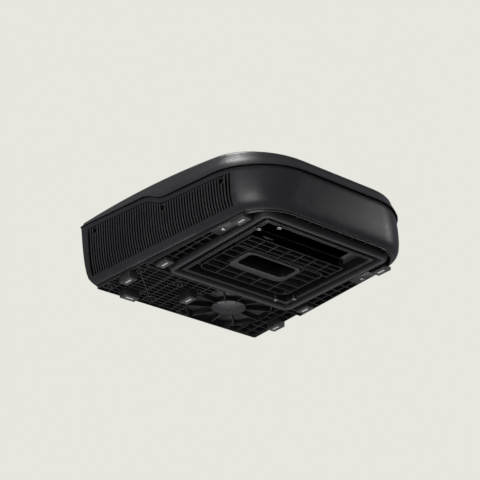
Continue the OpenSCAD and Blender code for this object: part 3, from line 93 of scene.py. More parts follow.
# ---------- settings ----------
class CasingSettings(bpy.types.PropertyGroup):
    """Sizes and colours of the outer casing."""

    edge: FloatProperty(
        name="Edge radius", description="Rounding of the casing's moulded edges",
        default=0.0011, min=0.0002, max=0.003, subtype="DISTANCE", unit="LENGTH",
    )
    shell_colour: FloatVectorProperty(
        name="Shell", description="Colour of the shell and its louvres",
        default=(0.021, 0.021, 0.023), size=3, min=0, max=1, subtype="COLOR",
    )
    lid_colour: FloatVectorProperty(
        name="Lid", description="Colour of the lid",
        default=(0.024, 0.024, 0.026), size=3, min=0, max=1, subtype="COLOR",
    )
    grain: FloatProperty(
        name="Grain", description="Grain cells of the moulded plastic, per metre",
        default=900.0, min=100.0, max=3000.0,
    )


class UndersideSettings(bpy.types.PropertyGroup):
    """Sizes and colours of the pieces that face the roof."""

    edge: FloatProperty(
        name="Edge radius", description="Rounding of ribs and rims",
        default=0.0005, min=0.0001, max=0.002, subtype="DISTANCE", unit="LENGTH",
    )
    tray_colour: FloatVectorProperty(
        name="Tray", description="Colour of the ribbed base",
        default=(0.012, 0.012, 0.013), size=3, min=0, max=1, subtype="COLOR",
    )
    seal_colour: FloatVectorProperty(
        name="Seal", description="Colour of the roof seal",
        default=(0.028, 0.028, 0.03), size=3, min=0, max=1, subtype="COLOR",
    )
    pad_bar_colour: FloatVectorProperty(
        name="Pad bar", description="Colour of the bar on each spacer pad",
        default=(0.55, 0.55, 0.55), size=3, min=0, max=1, subtype="COLOR",
    )


class CoolingSettings(bpy.types.PropertyGroup):
    """Sizes and colours of the coils, fans and pipes."""

    fin_pitch: FloatProperty(
        name="Fin pitch", description="Distance between coil fins",
        default=0.0022, min=0.0015, max=0.006, subtype="DISTANCE", unit="LENGTH",
    )
    copper: FloatVectorProperty(
        name="Copper", description="Colour of the tubes",
        default=(0.55, 0.25, 0.14), size=3, min=0, max=1, subtype="COLOR",
    )
    edge: FloatProperty(
        name="Edge radius", description="Rounding of sheet and moulded edges",
        default=0.0004, min=0.0001, max=0.002, subtype="DISTANCE", unit="LENGTH",
    )


class StageSettings(bpy.types.PropertyGroup):
    """Camera and lights."""

    lens: FloatProperty(
        name="Lens", description="Focal length on a 36 mm film back",
        default=112.5, min=20.0, max=300.0, subtype="DISTANCE_CAMERA",
    )
    floor_colour: FloatVectorProperty(
        name="Floor", description="Colour of the floor and the backdrop",
        default=(0.799, 0.791, 0.737), size=3, min=0, max=1, subtype="COLOR",
    )
    light: FloatProperty(
        name="Light", description="Strength of all lamps", default=1.0, min=0.1, max=5.0,
    )


# ---------- node helpers ----------
def add_node(tree, kind, **inputs):
    node = tree.nodes.new(kind)
    for name, value in inputs.items():
        key = name.replace("_", " ")
        if hasattr(value, "is_output"):
            tree.links.new(value, node.inputs[key])
        else:
            node.inputs[key].default_value = value
    return node


def maths(tree, operation, a, b=None, clamp=False):
    node = tree.nodes.new("ShaderNodeMath")
    node.operation = operation
    node.use_clamp = clamp
    for i, value in enumerate((a, b)):
        if value is None:
            continue
        if hasattr(value, "is_output"):
            tree.links.new(value, node.inputs[i])
        else:
            node.inputs[i].default_value = value
    return node.outputs[0]


def ramp(tree, value, low, high, to_low=0.0, to_high=1.0):
    node = tree.nodes.new("ShaderNodeMapRange")
    tree.links.new(value, node.inputs["Value"])
    limits = {"From Min": low, "From Max": high, "To Min": to_low, "To Max": to_high}
    for name, number in limits.items():
        node.inputs[name].default_value = number
    return node.outputs["Result"]


def mix_colour(tree, factor, a, b):
    node = tree.nodes.new("ShaderNodeMix")
    node.data_type = "RGBA"
    for socket, value in ((node.inputs[0], factor), (node.inputs[6], a), (node.inputs[7], b)):
        if hasattr(value, "is_output"):
            tree.links.new(value, socket)
        elif isinstance(value, (int, float)):
            socket.default_value = value
        else:
            socket.default_value = (*value[:3], 1.0)
    return node.outputs[2]


def new_group(name, inputs, outputs):
    tree = bpy.data.node_groups.new(name, "ShaderNodeTree")
    for label, default in inputs:
        socket = tree.interface.new_socket(label, in_out="INPUT", socket_type="NodeSocketFloat")
        socket.default_value = default
    for label in outputs:
        tree.interface.new_socket(label, in_out="OUTPUT", socket_type="NodeSocketFloat")
    return tree, tree.nodes.new("NodeGroupInput"), tree.nodes.new("NodeGroupOutput")


def grain_group():
    """Fine cells of a moulded surface, with slow tone and gloss changes."""
    tree, given, out = new_group(
        "moulded_grain", [("Scale", 900.0), ("Flow", 5.0)], ["Height", "Tone", "Gloss"])
    place = add_node(tree, "ShaderNodeTexCoord").outputs["Object"]
    cells = add_node(tree, "ShaderNodeTexVoronoi", Vector=place, Scale=given.outputs["Scale"])
    cells.feature = "SMOOTH_F1"
    fine = add_node(tree, "ShaderNodeTexNoise", Vector=place, Scale=given.outputs["Scale"], Detail=3.0)
    tree.links.new(maths(tree, "ADD", cells.outputs["Distance"], fine.outputs["Fac"]), out.inputs["Height"])
    flow = add_node(tree, "ShaderNodeTexNoise", Vector=place, Scale=given.outputs["Flow"],
                    Detail=4.0, Roughness=0.6)
    tree.links.new(ramp(tree, flow.outputs["Fac"], 0.3, 0.7), out.inputs["Tone"])
    patch = add_node(tree, "ShaderNodeTexNoise", Vector=place, Scale=38.0, Detail=5.0, Roughness=0.7)
    tree.links.new(ramp(tree, patch.outputs["Fac"], 0.35, 0.65), out.inputs["Gloss"])
    return tree


def wear_and_highlight_group():
    """Mask of sharp edges and corners, lightened partly as worn plastic and partly as a painted highlight."""
    tree, given, out = new_group("worn_and_highlit_edges", [("Amount", 0.5)], ["Mask"])
    shape = add_node(tree, "ShaderNodeNewGeometry").outputs["Pointiness"]
    place = add_node(tree, "ShaderNodeTexCoord").outputs["Object"]
    break_up = add_node(tree, "ShaderNodeTexNoise", Vector=place, Scale=120.0, Detail=4.0)
    edge = ramp(tree, shape, 0.51, 0.6)
    patchy = maths(tree, "MULTIPLY", edge, break_up.outputs["Fac"])
    tree.links.new(maths(tree, "MULTIPLY", patchy, given.outputs["Amount"], clamp=True), out.inputs["Mask"])
    return tree


def dust_group():
    """Mask of fine dust that lies on upward faces and in loose specks."""
    tree, given, out = new_group("settled_dust", [("Amount", 0.3), ("Scale", 60.0)], ["Mask"])
    geometry = add_node(tree, "ShaderNodeNewGeometry")
    split = add_node(tree, "ShaderNodeSeparateXYZ", Vector=geometry.outputs["Normal"])
    up = ramp(tree, split.outputs["Z"], -0.2, 1.0, 0.15, 1.0)
    place = add_node(tree, "ShaderNodeTexCoord").outputs["Object"]
    cloud = add_node(tree, "ShaderNodeTexNoise", Vector=place, Scale=given.outputs["Scale"],
                     Detail=8.0, Roughness=0.75)
    specks = ramp(tree, cloud.outputs["Fac"], 0.48, 0.8)
    lying = maths(tree, "MULTIPLY", up, specks)
    tree.links.new(maths(tree, "MULTIPLY", lying, given.outputs["Amount"], clamp=True), out.inputs["Mask"])
    return tree


GROUPS = {}


def use_group(tree, name, **inputs):
    makers = {"grain": grain_group, "wear_and_highlight": wear_and_highlight_group, "dust": dust_group}
    if name not in GROUPS:
        GROUPS[name] = makers[name]()
    node = tree.nodes.new("ShaderNodeGroup")
    node.node_tree = GROUPS[name]
    for label, value in inputs.items():
        node.inputs[label].default_value = value
    return node.outputs


def start_material(name):
    material = bpy.data.materials.new(name)
    material.use_nodes = True
    return material, material.node_tree, material.node_tree.nodes["Principled BSDF"]


def bump(tree, shader, height, strength, distance=0.0003):
    node = add_node(tree, "ShaderNodeBump", Height=height, Strength=strength, Distance=distance)
    tree.links.new(node.outputs["Normal"], shader.inputs["Normal"])


def moulded(name, colour, rough, spread=0.06, scale=900.0, depth=0.25, dust=0.15, wear_and_highlight=0.15,
            coat=0.0):
    """Plastic, rubber or paint with grain, slow tone changes, dust, and sharp edges lightened partly as worn
    plastic and partly as a painted highlight.
    """
    material, tree, shader = start_material(name)
    grain = use_group(tree, "grain", Scale=scale, Flow=6.0)
    darker = [c * 0.82 for c in colour]
    lighter = [min(1.0, c * 1.15 + 0.001) for c in colour]
    base = mix_colour(tree, grain["Tone"], darker, lighter)
    worn_and_highlit = use_group(tree, "wear_and_highlight", Amount=wear_and_highlight)["Mask"]
    # partly worn plastic, partly painted highlight: sharp edges lighten towards 1.8 times the colour
    base = mix_colour(tree, worn_and_highlit, base, [min(1.0, c * 1.8 + 0.02) for c in colour])
    dusty = use_group(tree, "dust", Amount=dust)["Mask"]
    base = mix_colour(tree, dusty, base, (0.16, 0.155, 0.145))
    tree.links.new(base, shader.inputs["Base Color"])
    gloss = ramp(tree, grain["Gloss"], 0.0, 1.0, rough - spread, rough + spread)
    matt = maths(tree, "ADD", gloss, maths(tree, "MULTIPLY", dusty, 0.3), clamp=True)
    tree.links.new(matt, shader.inputs["Roughness"])
    shader.inputs["Coat Weight"].default_value = coat
    shader.inputs["Coat Roughness"].default_value = 0.12
    bump(tree, shader, grain["Height"], depth)
    return material


def foam(name, colour, rough=0.8, cells=1500.0, depth=0.5, dust=0.25, specular=0.4):
    """Closed-cell foam or soft sponge rubber."""
    material, tree, shader = start_material(name)
    place = add_node(tree, "ShaderNodeTexCoord").outputs["Object"]
    pores = add_node(tree, "ShaderNodeTexVoronoi", Vector=place, Scale=cells)
    grain = use_group(tree, "grain", Scale=cells * 0.4, Flow=9.0)
    tint = mix_colour(tree, grain["Tone"], [c * 0.8 for c in colour], [c * 1.2 for c in colour])
    dusty = use_group(tree, "dust", Amount=dust, Scale=140.0)["Mask"]
    tree.links.new(mix_colour(tree, dusty, tint, (0.14, 0.135, 0.13)), shader.inputs["Base Color"])
    gloss = ramp(tree, grain["Gloss"], 0.0, 1.0, rough - 0.08, rough + 0.08)
    tree.links.new(gloss, shader.inputs["Roughness"])
    shader.inputs["Specular IOR Level"].default_value = specular
    bump(tree, shader, maths(tree, "ADD", pores.outputs["Distance"], grain["Height"]), depth)
    return material


def sheet_metal(name, colour, rough=0.35, spangle=60.0, brush=(1.0, 1.0, 1.0), depth=0.1, dust=0.2):
    """Plated or bare sheet: crystals or brush lines, dulled in patches."""
    material, tree, shader = start_material(name)
    place = add_node(tree, "ShaderNodeTexCoord").outputs["Object"]
    stretched = add_node(tree, "ShaderNodeMapping", Vector=place, Scale=brush).outputs["Vector"]
    crystals = add_node(tree, "ShaderNodeTexVoronoi", Vector=stretched, Scale=spangle)
    split = add_node(tree, "ShaderNodeSeparateXYZ", Vector=crystals.outputs["Color"])
    grain = use_group(tree, "grain", Scale=500.0, Flow=12.0)
    tint = mix_colour(tree, split.outputs["X"], [c * 0.78 for c in colour], colour)
    dusty = use_group(tree, "dust", Amount=dust)["Mask"]
    tree.links.new(mix_colour(tree, dusty, tint, (0.22, 0.21, 0.2)), shader.inputs["Base Color"])
    dull = maths(tree, "ADD", ramp(tree, split.outputs["Y"], 0.0, 1.0, rough - 0.08, rough + 0.08),
                 maths(tree, "MULTIPLY", dusty, 0.35), clamp=True)
    tree.links.new(dull, shader.inputs["Roughness"])
    tree.links.new(maths(tree, "SUBTRACT", 1.0, dusty, clamp=True), shader.inputs["Metallic"])
    bump(tree, shader, maths(tree, "ADD", split.outputs["Z"], grain["Height"]), depth)
    return material


def slotted_with_painted_shade(name, colour, rough, across, scale=900.0):
    """Moulded bars whose side faces, along one axis, are darkened as painted shade in the slots."""
    material = moulded(name, colour, rough, scale=scale, depth=0.2, dust=0.05)
    tree = material.node_tree
    shader = tree.nodes["Principled BSDF"]
    surface = shader.inputs["Base Color"].links[0].from_socket
    facing = add_node(tree, "ShaderNodeNewGeometry").outputs["Normal"]
    split = add_node(tree, "ShaderNodeSeparateXYZ", Vector=facing)
    # painted shade: faces turned along the given axis, the bars' side faces in the slots, darken to 0.12 of
    # the colour
    side = ramp(tree, maths(tree, "ABSOLUTE", split.outputs[across]), 0.55, 0.85)
    tree.links.new(mix_colour(tree, side, surface, [c * 0.12 for c in colour]), shader.inputs["Base Color"])
    return material


def circuit_board(name, colour):
    """Coated board with a pattern of tracks."""
    material, tree, shader = start_material(name)
    place = add_node(tree, "ShaderNodeTexCoord").outputs["Object"]
    tracks = add_node(tree, "ShaderNodeTexBrick", Vector=place, Scale=180.0, Mortar_Size=0.06)
    tracks.inputs["Color1"].default_value = (*[c * 0.75 for c in colour], 1)
    tracks.inputs["Color2"].default_value = (*colour, 1)
    tracks.inputs["Mortar"].default_value = (*[min(1, c * 2.2) for c in colour], 1)
    tree.links.new(tracks.outputs["Color"], shader.inputs["Base Color"])
    grain = use_group(tree, "grain", Scale=700.0, Flow=20.0)
    tree.links.new(ramp(tree, grain["Gloss"], 0.0, 1.0, 0.22, 0.4), shader.inputs["Roughness"])
    bump(tree, shader, tracks.outputs["Fac"], 0.2, 0.0001)
    return material


MATERIALS = {}


def make_materials(scene):
    casing, under, cool = scene.unit_casing, scene.unit_underside, scene.unit_cooling
    shell, lid, tray = casing.shell_colour, casing.lid_colour, under.tray_colour
    MATERIALS.update({
        "shell_plastic": moulded("shell_plastic", shell, 0.36, scale=casing.grain, depth=0.2, dust=0.05),
        # painted light: the louvre and grille bars take the shell's plastic made 1.5 times lighter, a lit
        # copy of the shell colour
        "side_bars": slotted_with_painted_shade("side_bars", [c * 1.5 for c in shell], 0.34, "Y"),
        "rear_bars": slotted_with_painted_shade("rear_bars", [c * 1.5 for c in shell], 0.34, "X"),
        "coated_fin": sheet_metal("coated_fin", (0.02, 0.022, 0.026), 0.5, 120.0,
                                  (1, 1, 0.05), 0.2, 0.1),
        "lid_plastic": moulded("lid_plastic", lid, 0.34, 0.03, scale=casing.grain, depth=0.18, dust=0.08),
        # the tray's strong edge lightening is mostly a painted highlight along its rib edges
        "tray_plastic": moulded("tray_plastic", tray, 0.38, 0.08, scale=600.0, depth=0.3,
                                dust=0.12, wear_and_highlight=0.6),
        "foam_seal": foam("foam_seal", under.seal_colour, 0.55, 1100.0, 0.35),
        "pad_rubber": moulded("pad_rubber", (0.03, 0.03, 0.031), 0.5, scale=500.0, depth=0.35),
        "pad_bar": moulded("pad_bar", under.pad_bar_colour, 0.35, scale=400.0, depth=0.1, dust=0.1, wear_and_highlight=0.0),
        "duct_foam": foam("duct_foam", (0.012, 0.012, 0.013), 0.8, 600.0, 0.5),
        # painted shade: dark_lining is near black with almost no gloss, standing for the shade inside the
        # casing's openings
        "dark_lining": foam("dark_lining", (0.0015, 0.0015, 0.0016), 0.95, 600.0, 0.3,
                            dust=0.0, specular=0.05),
        "zinc_plate": sheet_metal("zinc_plate", (0.42, 0.43, 0.45), 0.42, 70.0),
        "bright_steel": sheet_metal("bright_steel", (0.8, 0.8, 0.8), 0.22, 300.0, (1, 1, 0.1), 0.05, 0.05),
        "fin_aluminium": sheet_metal("fin_aluminium", (0.2, 0.21, 0.22), 0.45, 120.0, (1, 1, 0.05), 0.2, 0.3),
        "copper_tube": sheet_metal("copper_tube", cool.copper, 0.32, 90.0, (1, 1, 1), 0.15, 0.3),
        "fan_plastic": moulded("fan_plastic", (0.03, 0.03, 0.032), 0.45, scale=500.0, dust=0.25),
        "wheel_plastic": moulded("wheel_plastic", (0.03, 0.03, 0.03), 0.5, scale=500.0, dust=0.3),
        "motor_steel": moulded("motor_steel", (0.05, 0.05, 0.055), 0.35, scale=300.0,
                               depth=0.15, coat=0.2, wear_and_highlight=0.4),
        "compressor_paint": moulded("compressor_paint", (0.008, 0.008, 0.008), 0.22,
                                    scale=160.0, depth=0.2, coat=0.4),
        "mount_rubber": moulded("mount_rubber", (0.012, 0.012, 0.012), 0.65, scale=700.0, depth=0.4),
        "board_green": circuit_board("board_green", (0.02, 0.09, 0.035)),
        "terminal_white": moulded("terminal_white", (0.55, 0.54, 0.5), 0.4, scale=600.0, depth=0.1),
        "liner_foam": foam("liner_foam", (0.02, 0.02, 0.022), 0.85, 500.0, 0.6),
    })


# ---------- mesh helpers ----------
def select_only(obj):
    if bpy.context.object and bpy.context.object.mode != "OBJECT":
        bpy.ops.object.mode_set(mode="OBJECT")
    bpy.ops.object.select_all(action="DESELECT")
    obj.select_set(True)
    bpy.context.view_layer.objects.active = obj


def modify(obj, kind, **values):
    select_only(obj)
    modifier = obj.modifiers.new(kind.title(), kind)
    for name, value in values.items():
        setattr(modifier, name, value)
    bpy.ops.object.modifier_apply(modifier=modifier.name)


def smooth(obj, angle=30.0):
    select_only(obj)
    bpy.ops.object.shade_smooth_by_angle(angle=math.radians(angle))


def finish(obj, material, body=UNIT, replaced=(), angle=30.0):
    """Places the piece in its mesh, gives it its finish and hands it to its body."""
    select_only(obj)
    bpy.ops.object.transform_apply(location=True, rotation=True, scale=True)
    smooth(obj, angle)
    obj.data.materials.clear()
    obj.data.materials.append(MATERIALS[material])
    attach(obj, body)
    if replaced:
        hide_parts(*replaced)


def merged_copy(node, name):
    """A copy of a CAD piece with its doubled vertices merged, left in edit mode."""
    copy = bpy.data.objects.new(name, NODES[node].data.copy())
    bpy.context.scene.collection.objects.link(copy)
    edit(copy)
    bpy.ops.mesh.select_all(action="SELECT")
    bpy.ops.mesh.remove_doubles(threshold=MERGE_DISTANCE)
    return copy


def refine(node, edge, material=None, angle=30.0):
    """A merged copy of a CAD piece with rounded edges, which stands for it."""
    copy = merged_copy(node, node + "_form")
    done_editing()
    if edge > 0:
        modify(copy, "BEVEL", width=edge, segments=2, limit_method="ANGLE",
               angle_limit=math.radians(35), use_clamp_overlap=True, miter_outer="MITER_ARC")
    slot = SLOT_OF[node]
    finish(copy, material or slot, BODY_OF[node], [node], angle)


def dress(names):
    """Gives CAD pieces whose shape is kept their finish."""
    for name in names:
        node = NODES[name]
        node.data.materials.clear()
        node.data.materials.append(MATERIALS[SLOT_OF[name]])


def edit(obj):
    select_only(obj)
    bpy.ops.object.mode_set(mode="EDIT")


def done_editing():
    bpy.ops.object.mode_set(mode="OBJECT")


def pick_faces(obj, test):
    """Selects the faces that pass the test on centre and normal, in edit mode."""
    bpy.ops.mesh.select_all(action="DESELECT")
    bpy.ops.object.mode_set(mode="OBJECT")
    for face in obj.data.polygons:
        face.select = test(obj.matrix_world @ face.center, face.normal)
    bpy.ops.object.mode_set(mode="EDIT")
    bpy.ops.mesh.select_mode(type="FACE")


def box_piece(name, low, high):
    """A box between two corners, ready for shaping."""
    bpy.ops.object.select_all(action="DESELECT")
    middle = [(a + b) / 2 for a, b in zip(low, high)]
    bpy.ops.mesh.primitive_cube_add(size=1.0, location=middle)
    obj = bpy.context.object
    obj.name = name
    obj.scale = [b - a for a, b in zip(low, high)]
    bpy.ops.object.transform_apply(location=True, rotation=True, scale=True)
    return obj


def join(pieces, name):
    bpy.ops.object.select_all(action="DESELECT")
    for piece in pieces:
        piece.select_set(True)
    bpy.context.view_layer.objects.active = pieces[0]
    bpy.ops.object.join()
    pieces[0].name = name
    return pieces[0]


def islands(node):
    """Lowest and highest corners of each separate solid of a node."""
    merged_copy(node, "islands")
    bpy.ops.mesh.separate(type="LOOSE")
    done_editing()
    boxes = []
    for part in list(bpy.context.selected_objects):
        points = [v.co for v in part.data.vertices]
        boxes.append((
            Vector([min(p[i] for p in points) for i in range(3)]),
            Vector([max(p[i] for p in points) for i in range(3)]),
        ))
        bpy.data.objects.remove(part, do_unlink=True)
    return boxes


def screw_head(name, seat, axis, radius, height):
    """A pan head with a rounded rim and a cross recess."""
    bpy.ops.object.select_all(action="DESELECT")
    turn = Vector(axis).to_track_quat("Z", "Y").to_euler()
    bpy.ops.mesh.primitive_cylinder_add(vertices=24, radius=radius, depth=height, location=(0, 0, height / 2))
    head = bpy.context.object
    head.name = name
    bpy.ops.object.transform_apply(location=True, rotation=True, scale=True)
    edit(head)
    pick_faces(head, lambda c, n: n.z > 0.9)
    bpy.ops.mesh.bevel(offset=height * 0.4, segments=3, affect="EDGES")
    done_editing()
    cutters = []
    for angle in (0, math.radians(90)):
        bpy.ops.mesh.primitive_cube_add(size=1.0, location=(0, 0, height), rotation=(0, 0, angle))
        cutter = bpy.context.object
        cutter.scale = (radius * 1.2, radius * 0.22, height * 0.9)
        cutters.append(cutter)
    for cutter in cutters:
        modify(head, "BOOLEAN", object=cutter, operation="DIFFERENCE", solver="EXACT")
        bpy.data.objects.remove(cutter, do_unlink=True)
    head.rotation_euler = turn
    head.location = seat
    select_only(head)
    bpy.ops.object.transform_apply(location=True, rotation=True, scale=True)
    return head


class BuildCasing(bpy.types.Operator):
    """Shell, lid, louvres, grille and catches"""

    bl_idname = "rooftop.build_casing"
    bl_label = "Casing"

    def execute(self, context):
        edge = context.scene.unit_casing.edge
        refine("mid_shell", edge)
        refine("lid", edge)
        for name in ("left_louvres", "right_louvres"):
            refine(name, edge * 0.6, "side_bars", angle=40)
        refine("rear_grille", edge * 0.6, "rear_bars", angle=40)
        refine("lid_catches", edge * 0.4)
        dress(["lid_liner"])
        return {"FINISHED"}


class BuildFasteners(bpy.types.Operator):
    """Recessed heads of the lid and tray screws"""

    bl_idname = "rooftop.build_fasteners"
    bl_label = "Fasteners"

    def execute(self, context):
        heads = []
        for low, high in islands("lid_screws"):
            seat = ((low.x + high.x) / 2, high.y - LID_SCREW_SEAT, (low.z + high.z) / 2)
            radius = (high.z - low.z) / 2 + LID_SCREW_RIM
            heads.append(screw_head("head", seat, (0, 1, 0), radius, LID_SCREW_HEIGHT))
        for low, high in islands("tray_screws"):
            seat = ((low.x + high.x) / 2, (low.y + high.y) / 2, low.z + TRAY_SCREW_SEAT)
            radius = (high.x - low.x) / 2 + TRAY_SCREW_RIM
            heads.append(screw_head("head", seat, (0, 0, -1), radius, TRAY_SCREW_HEIGHT))
        dress(["lid_screws", "tray_screws"])
        finish(join(heads, "screw_heads"), "bright_steel")
        return {"FINISHED"}


class BuildUnderside(bpy.types.Operator):
    """Tray, seal, pads, air guide and clamp inserts"""

    bl_idname = "rooftop.build_underside"
    bl_label = "Underside"

    def execute(self, context):
        edge = context.scene.unit_underside.edge
        refine("base_tray", edge)
        refine("air_guide", edge)
        refine("vent_ring", edge * 0.5)
        refine("roof_seal", 0.0, angle=50)
        refine("spacer_pads", 0.0012)
        refine("clamp_inserts", 0.0003)
        refine("cable_gland", 0.0004)
        refine("air_sensor", 0.0004, "mount_rubber")
        return {"FINISHED"}


class BuildPadBars(bpy.types.Operator):
    """Bright raised bar in the foot of each spacer pad"""

    bl_idname = "rooftop.build_pad_bars"
    bl_label = "Pad bars"

    def execute(self, context):
        wide, gap = PAD_BAR_HALF_WIDTH, PAD_BAR_END_GAP
        bars = []
        for low, high in islands("spacer_pads"):
            size = high - low
            middle = (low + high) / 2
            half = (wide, size.y / 2 - gap) if size.y > size.x else (size.x / 2 - gap, wide)
            bar = box_piece("bar", (middle.x - half[0], middle.y - half[1], PAD_BAR_LOW),
                            (middle.x + half[0], middle.y + half[1], PAD_BAR_HIGH))
            edit(bar)
            pick_faces(bar, lambda c, n: n.z < -0.9)
            bpy.ops.mesh.inset(thickness=PAD_BAR_RIM)
            bpy.ops.transform.translate(value=(0, 0, PAD_BAR_SINK))
            done_editing()
            modify(bar, "BEVEL", width=SMALL_BEVEL, segments=2, limit_method="ANGLE")
            bars.append(bar)
        finish(join(bars, "pad_bars"), "pad_bar")
        return {"FINISHED"}


def fin_pack(name, node, pitch, material):
    """One folded fin, repeated across the coil."""
    low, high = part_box(node)
    fin = box_piece(name, low, (low[0] + FIN_THICKNESS, high[1], high[2]))
    edit(fin)
    bpy.ops.mesh.select_all(action="SELECT")
    middle = (low[1] + high[1]) / 2
    bpy.ops.mesh.bisect(plane_co=(0, middle, 0), plane_no=(0, 1, 0))
    bpy.ops.transform.translate(value=(pitch * FIN_FOLD, 0, 0))
    done_editing()
    count = int((high[0] - low[0] - pitch) / pitch)
    modify(fin, "ARRAY", count=count, use_relative_offset=False, use_constant_offset=True,
           constant_offset_displace=(pitch, 0, 0))
    finish(fin, material, replaced=[node])


class BuildCoils(bpy.types.Operator):
    """Dense fins and tubes of both coils"""

    bl_idname = "rooftop.build_coils"
    bl_label = "Coils"

    def execute(self, context):
        cool = context.scene.unit_cooling
        fin_pack("condenser_pack", "condenser_fins", cool.fin_pitch, "fin_aluminium")
        fin_pack("evaporator_pack", "evaporator_fins", cool.fin_pitch, "coated_fin")
        refine("condenser_tubes", 0.0)
        refine("evaporator_tubes", 0.0)
        return {"FINISHED"}


class BuildMachinery(bpy.types.Operator):
    """Compressor with its seam, mounts, motors, fans and pipes"""

    bl_idname = "rooftop.build_machinery"
    bl_label = "Machinery"

    def execute(self, context):
        edge = context.scene.unit_cooling.edge
        for name in ("compressor", "accumulator", "filter_drier"):
            refine(name, 0.0, angle=35)
        for name in ("suction_pipe", "discharge_pipe", "liquid_pipe", "capillary_coil"):
            refine(name, 0.0, angle=40)
        for name in ("compressor_cradle", "rubber_mounts", "mount_bolts", "blower_motor", "fan_motor",
                     "motor_bracket", "fan_shaft", "blower_shaft", "condenser_fan", "blower_wheel",
                     "fan_shroud"):
            refine(name, edge)
        # painted shade: the blower scroll is turned near black
        refine("blower_scroll", edge, "dark_lining")
        low, high = (Vector(v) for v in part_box("compressor"))
        radius = (high.x - low.x) / 2
        seams = []
        for share in SEAM_HEIGHTS:
            bpy.ops.object.select_all(action="DESELECT")
            bpy.ops.mesh.primitive_torus_add(
                location=((low.x + high.x) / 2, low.y + (high.y - low.y) * share, low.z + radius),
                rotation=(math.radians(90), 0, 0), major_radius=radius, minor_radius=SEAM_RADIUS,
                major_segments=72, minor_segments=8,
            )
            seams.append(bpy.context.object)
        finish(join(seams, "compressor_seams"), "compressor_paint")
        return {"FINISHED"}


class BuildInside(bpy.types.Operator):
    """Walls, ducts, pan and controls inside the casing"""

    bl_idname = "rooftop.build_inside"
    bl_label = "Inside"

    def execute(self, context):
        edge = context.scene.unit_cooling.edge
        # painted shade: pan, evaporator case and supply duct are turned near black
        for name in ("drip_pan", "evaporator_case", "supply_duct"):
            refine(name, edge, "dark_lining")
        for name in ("bulkhead", "control_box", "control_box_cover", "control_board",
                     "run_capacitor", "terminal_block"):
            refine(name, edge)
        # near-black strip on the grid's first rib, a painted shade behind the return opening
        strip = box_piece("return_shade_strip", *RETURN_SHADE_STRIP)
        modify(strip, "BEVEL", width=SMALL_BEVEL, segments=2, limit_method="ANGLE")
        finish(strip, "dark_lining")
        return {"FINISHED"}


def area_light(name, place, size, power):
    data = bpy.data.lights.new(name, "AREA")
    data.shape = "RECTANGLE"
    data.size, data.size_y = size
    data.energy = power
    lamp = bpy.data.objects.new(name, data)
    bpy.context.scene.collection.objects.link(lamp)
    lamp.location = place
    lamp.rotation_euler = (Vector(LIGHT_TARGET) - Vector(place)).to_track_quat("-Z", "Y").to_euler()


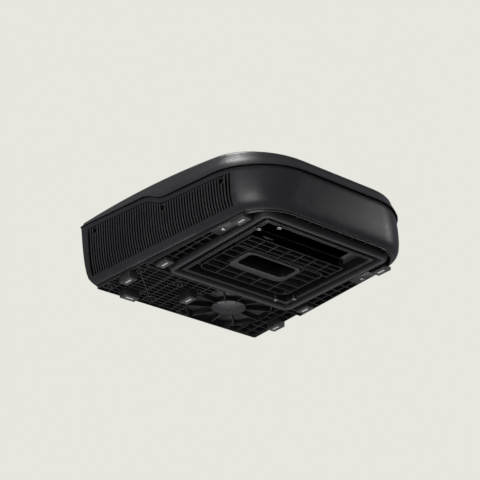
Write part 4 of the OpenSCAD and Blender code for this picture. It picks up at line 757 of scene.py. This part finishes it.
class BuildStage(bpy.types.Operator):
    """Floor, backdrop, lights and camera"""

    bl_idname = "rooftop.build_stage"
    bl_label = "Stage"

    def execute(self, context):
        scene = context.scene
        stage = scene.unit_stage
        bpy.ops.object.select_all(action="DESELECT")
        bpy.ops.mesh.primitive_plane_add(size=FLOOR_SIZE, location=(0, 0, FLOOR_DROP))
        floor = context.object
        floor.name = "floor"
        material, tree, shader = start_material("floor_paper")
        place = add_node(tree, "ShaderNodeTexCoord").outputs["Object"]
        fibre = add_node(tree, "ShaderNodeTexNoise", Vector=place, Scale=300.0, Detail=4.0)
        paper = stage.floor_colour
        tree.links.new(mix_colour(tree, fibre.outputs["Fac"], [c * 0.98 for c in paper], paper),
                       shader.inputs["Base Color"])
        tree.links.new(ramp(tree, fibre.outputs["Fac"], 0, 1, 0.85, 0.95), shader.inputs["Roughness"])
        shader.inputs["Emission Color"].default_value = (*paper, 1)
        shader.inputs["Emission Strength"].default_value = FLOOR_GLOW
        # seen from below, the floor lets the eye through to the backdrop
        back = add_node(tree, "ShaderNodeNewGeometry").outputs["Backfacing"]
        clear = tree.nodes.new("ShaderNodeBsdfTransparent")
        both = tree.nodes.new("ShaderNodeMixShader")
        tree.links.new(back, both.inputs[0])
        tree.links.new(shader.outputs[0], both.inputs[1])
        tree.links.new(clear.outputs[0], both.inputs[2])
        tree.links.new(both.outputs[0], tree.nodes["Material Output"].inputs["Surface"])
        floor.data.materials.append(material)
        floor.visible_shadow = False
        floor.visible_diffuse = False
        floor.visible_glossy = False

        world = bpy.data.worlds.new("studio")
        scene.world = world
        world.use_nodes = True
        tree = world.node_tree
        seen = tree.nodes["Background"]
        seen.inputs["Color"].default_value = (*paper, 1)
        room = tree.nodes.new("ShaderNodeBackground")
        room.inputs["Color"].default_value = ROOM_COLOUR
        room.inputs["Strength"].default_value = ROOM_STRENGTH
        path = tree.nodes.new("ShaderNodeLightPath")
        mix = tree.nodes.new("ShaderNodeMixShader")
        tree.links.new(path.outputs["Is Camera Ray"], mix.inputs[0])
        tree.links.new(room.outputs[0], mix.inputs[1])
        tree.links.new(seen.outputs[0], mix.inputs[2])
        tree.links.new(mix.outputs[0], tree.nodes["World Output"].inputs["Surface"])

        for name, (place, size, power) in LIGHTS.items():
            area_light(name, place, size, power * stage.light)

        camera = bpy.data.objects.new("camera", bpy.data.cameras.new("camera"))
        scene.collection.objects.link(camera)
        camera.data.lens = stage.lens
        camera.data.sensor_width = 36.0
        camera.data.clip_end = 50.0
        level = math.cos(CAMERA_RISE)
        forward = Vector((math.sin(CAMERA_AZIMUTH) * level, math.cos(CAMERA_AZIMUTH) * level,
                          math.sin(CAMERA_RISE)))
        camera.location = CAMERA_PLACE
        camera.rotation_euler = forward.to_track_quat("-Z", "Y").to_euler()
        scene.camera = camera
        scene.view_settings.view_transform = "Standard"
        return {"FINISHED"}


class UnitPanel(bpy.types.Panel):
    """Sidebar list of the build steps"""

    bl_idname = "VIEW3D_PT_rooftop_unit"
    bl_label = "Rooftop unit"
    bl_space_type = "VIEW_3D"
    bl_region_type = "UI"
    bl_category = "Rooftop unit"

    def draw(self, context):
        for operator in OPERATORS:
            self.layout.operator(operator.bl_idname)
        for name in ("unit_casing", "unit_underside", "unit_cooling", "unit_stage"):
            settings = getattr(context.scene, name)
            for key in settings.__annotations__:
                self.layout.prop(settings, key)


OPERATORS = (
    BuildCasing, BuildFasteners, BuildUnderside, BuildPadBars, BuildCoils,
    BuildMachinery, BuildInside, BuildStage,
)
SETTINGS = {
    "unit_casing": CasingSettings, "unit_underside": UndersideSettings,
    "unit_cooling": CoolingSettings, "unit_stage": StageSettings,
}


def register():
    for cls in (*SETTINGS.values(), *OPERATORS, UnitPanel):
        bpy.utils.register_class(cls)
    for name, cls in SETTINGS.items():
        setattr(bpy.types.Scene, name, PointerProperty(type=cls))


def unregister():
    for name in SETTINGS:
        delattr(bpy.types.Scene, name)
    for cls in reversed((*SETTINGS.values(), *OPERATORS, UnitPanel)):
        bpy.utils.unregister_class(cls)


def main():
    register()
    make_materials(bpy.context.scene)
    bpy.ops.rooftop.build_casing()
    bpy.ops.rooftop.build_fasteners()
    bpy.ops.rooftop.build_underside()
    bpy.ops.rooftop.build_pad_bars()
    bpy.ops.rooftop.build_coils()
    bpy.ops.rooftop.build_machinery()
    bpy.ops.rooftop.build_inside()
    bpy.ops.rooftop.build_stage()


if __name__ == "__main__":
    main()
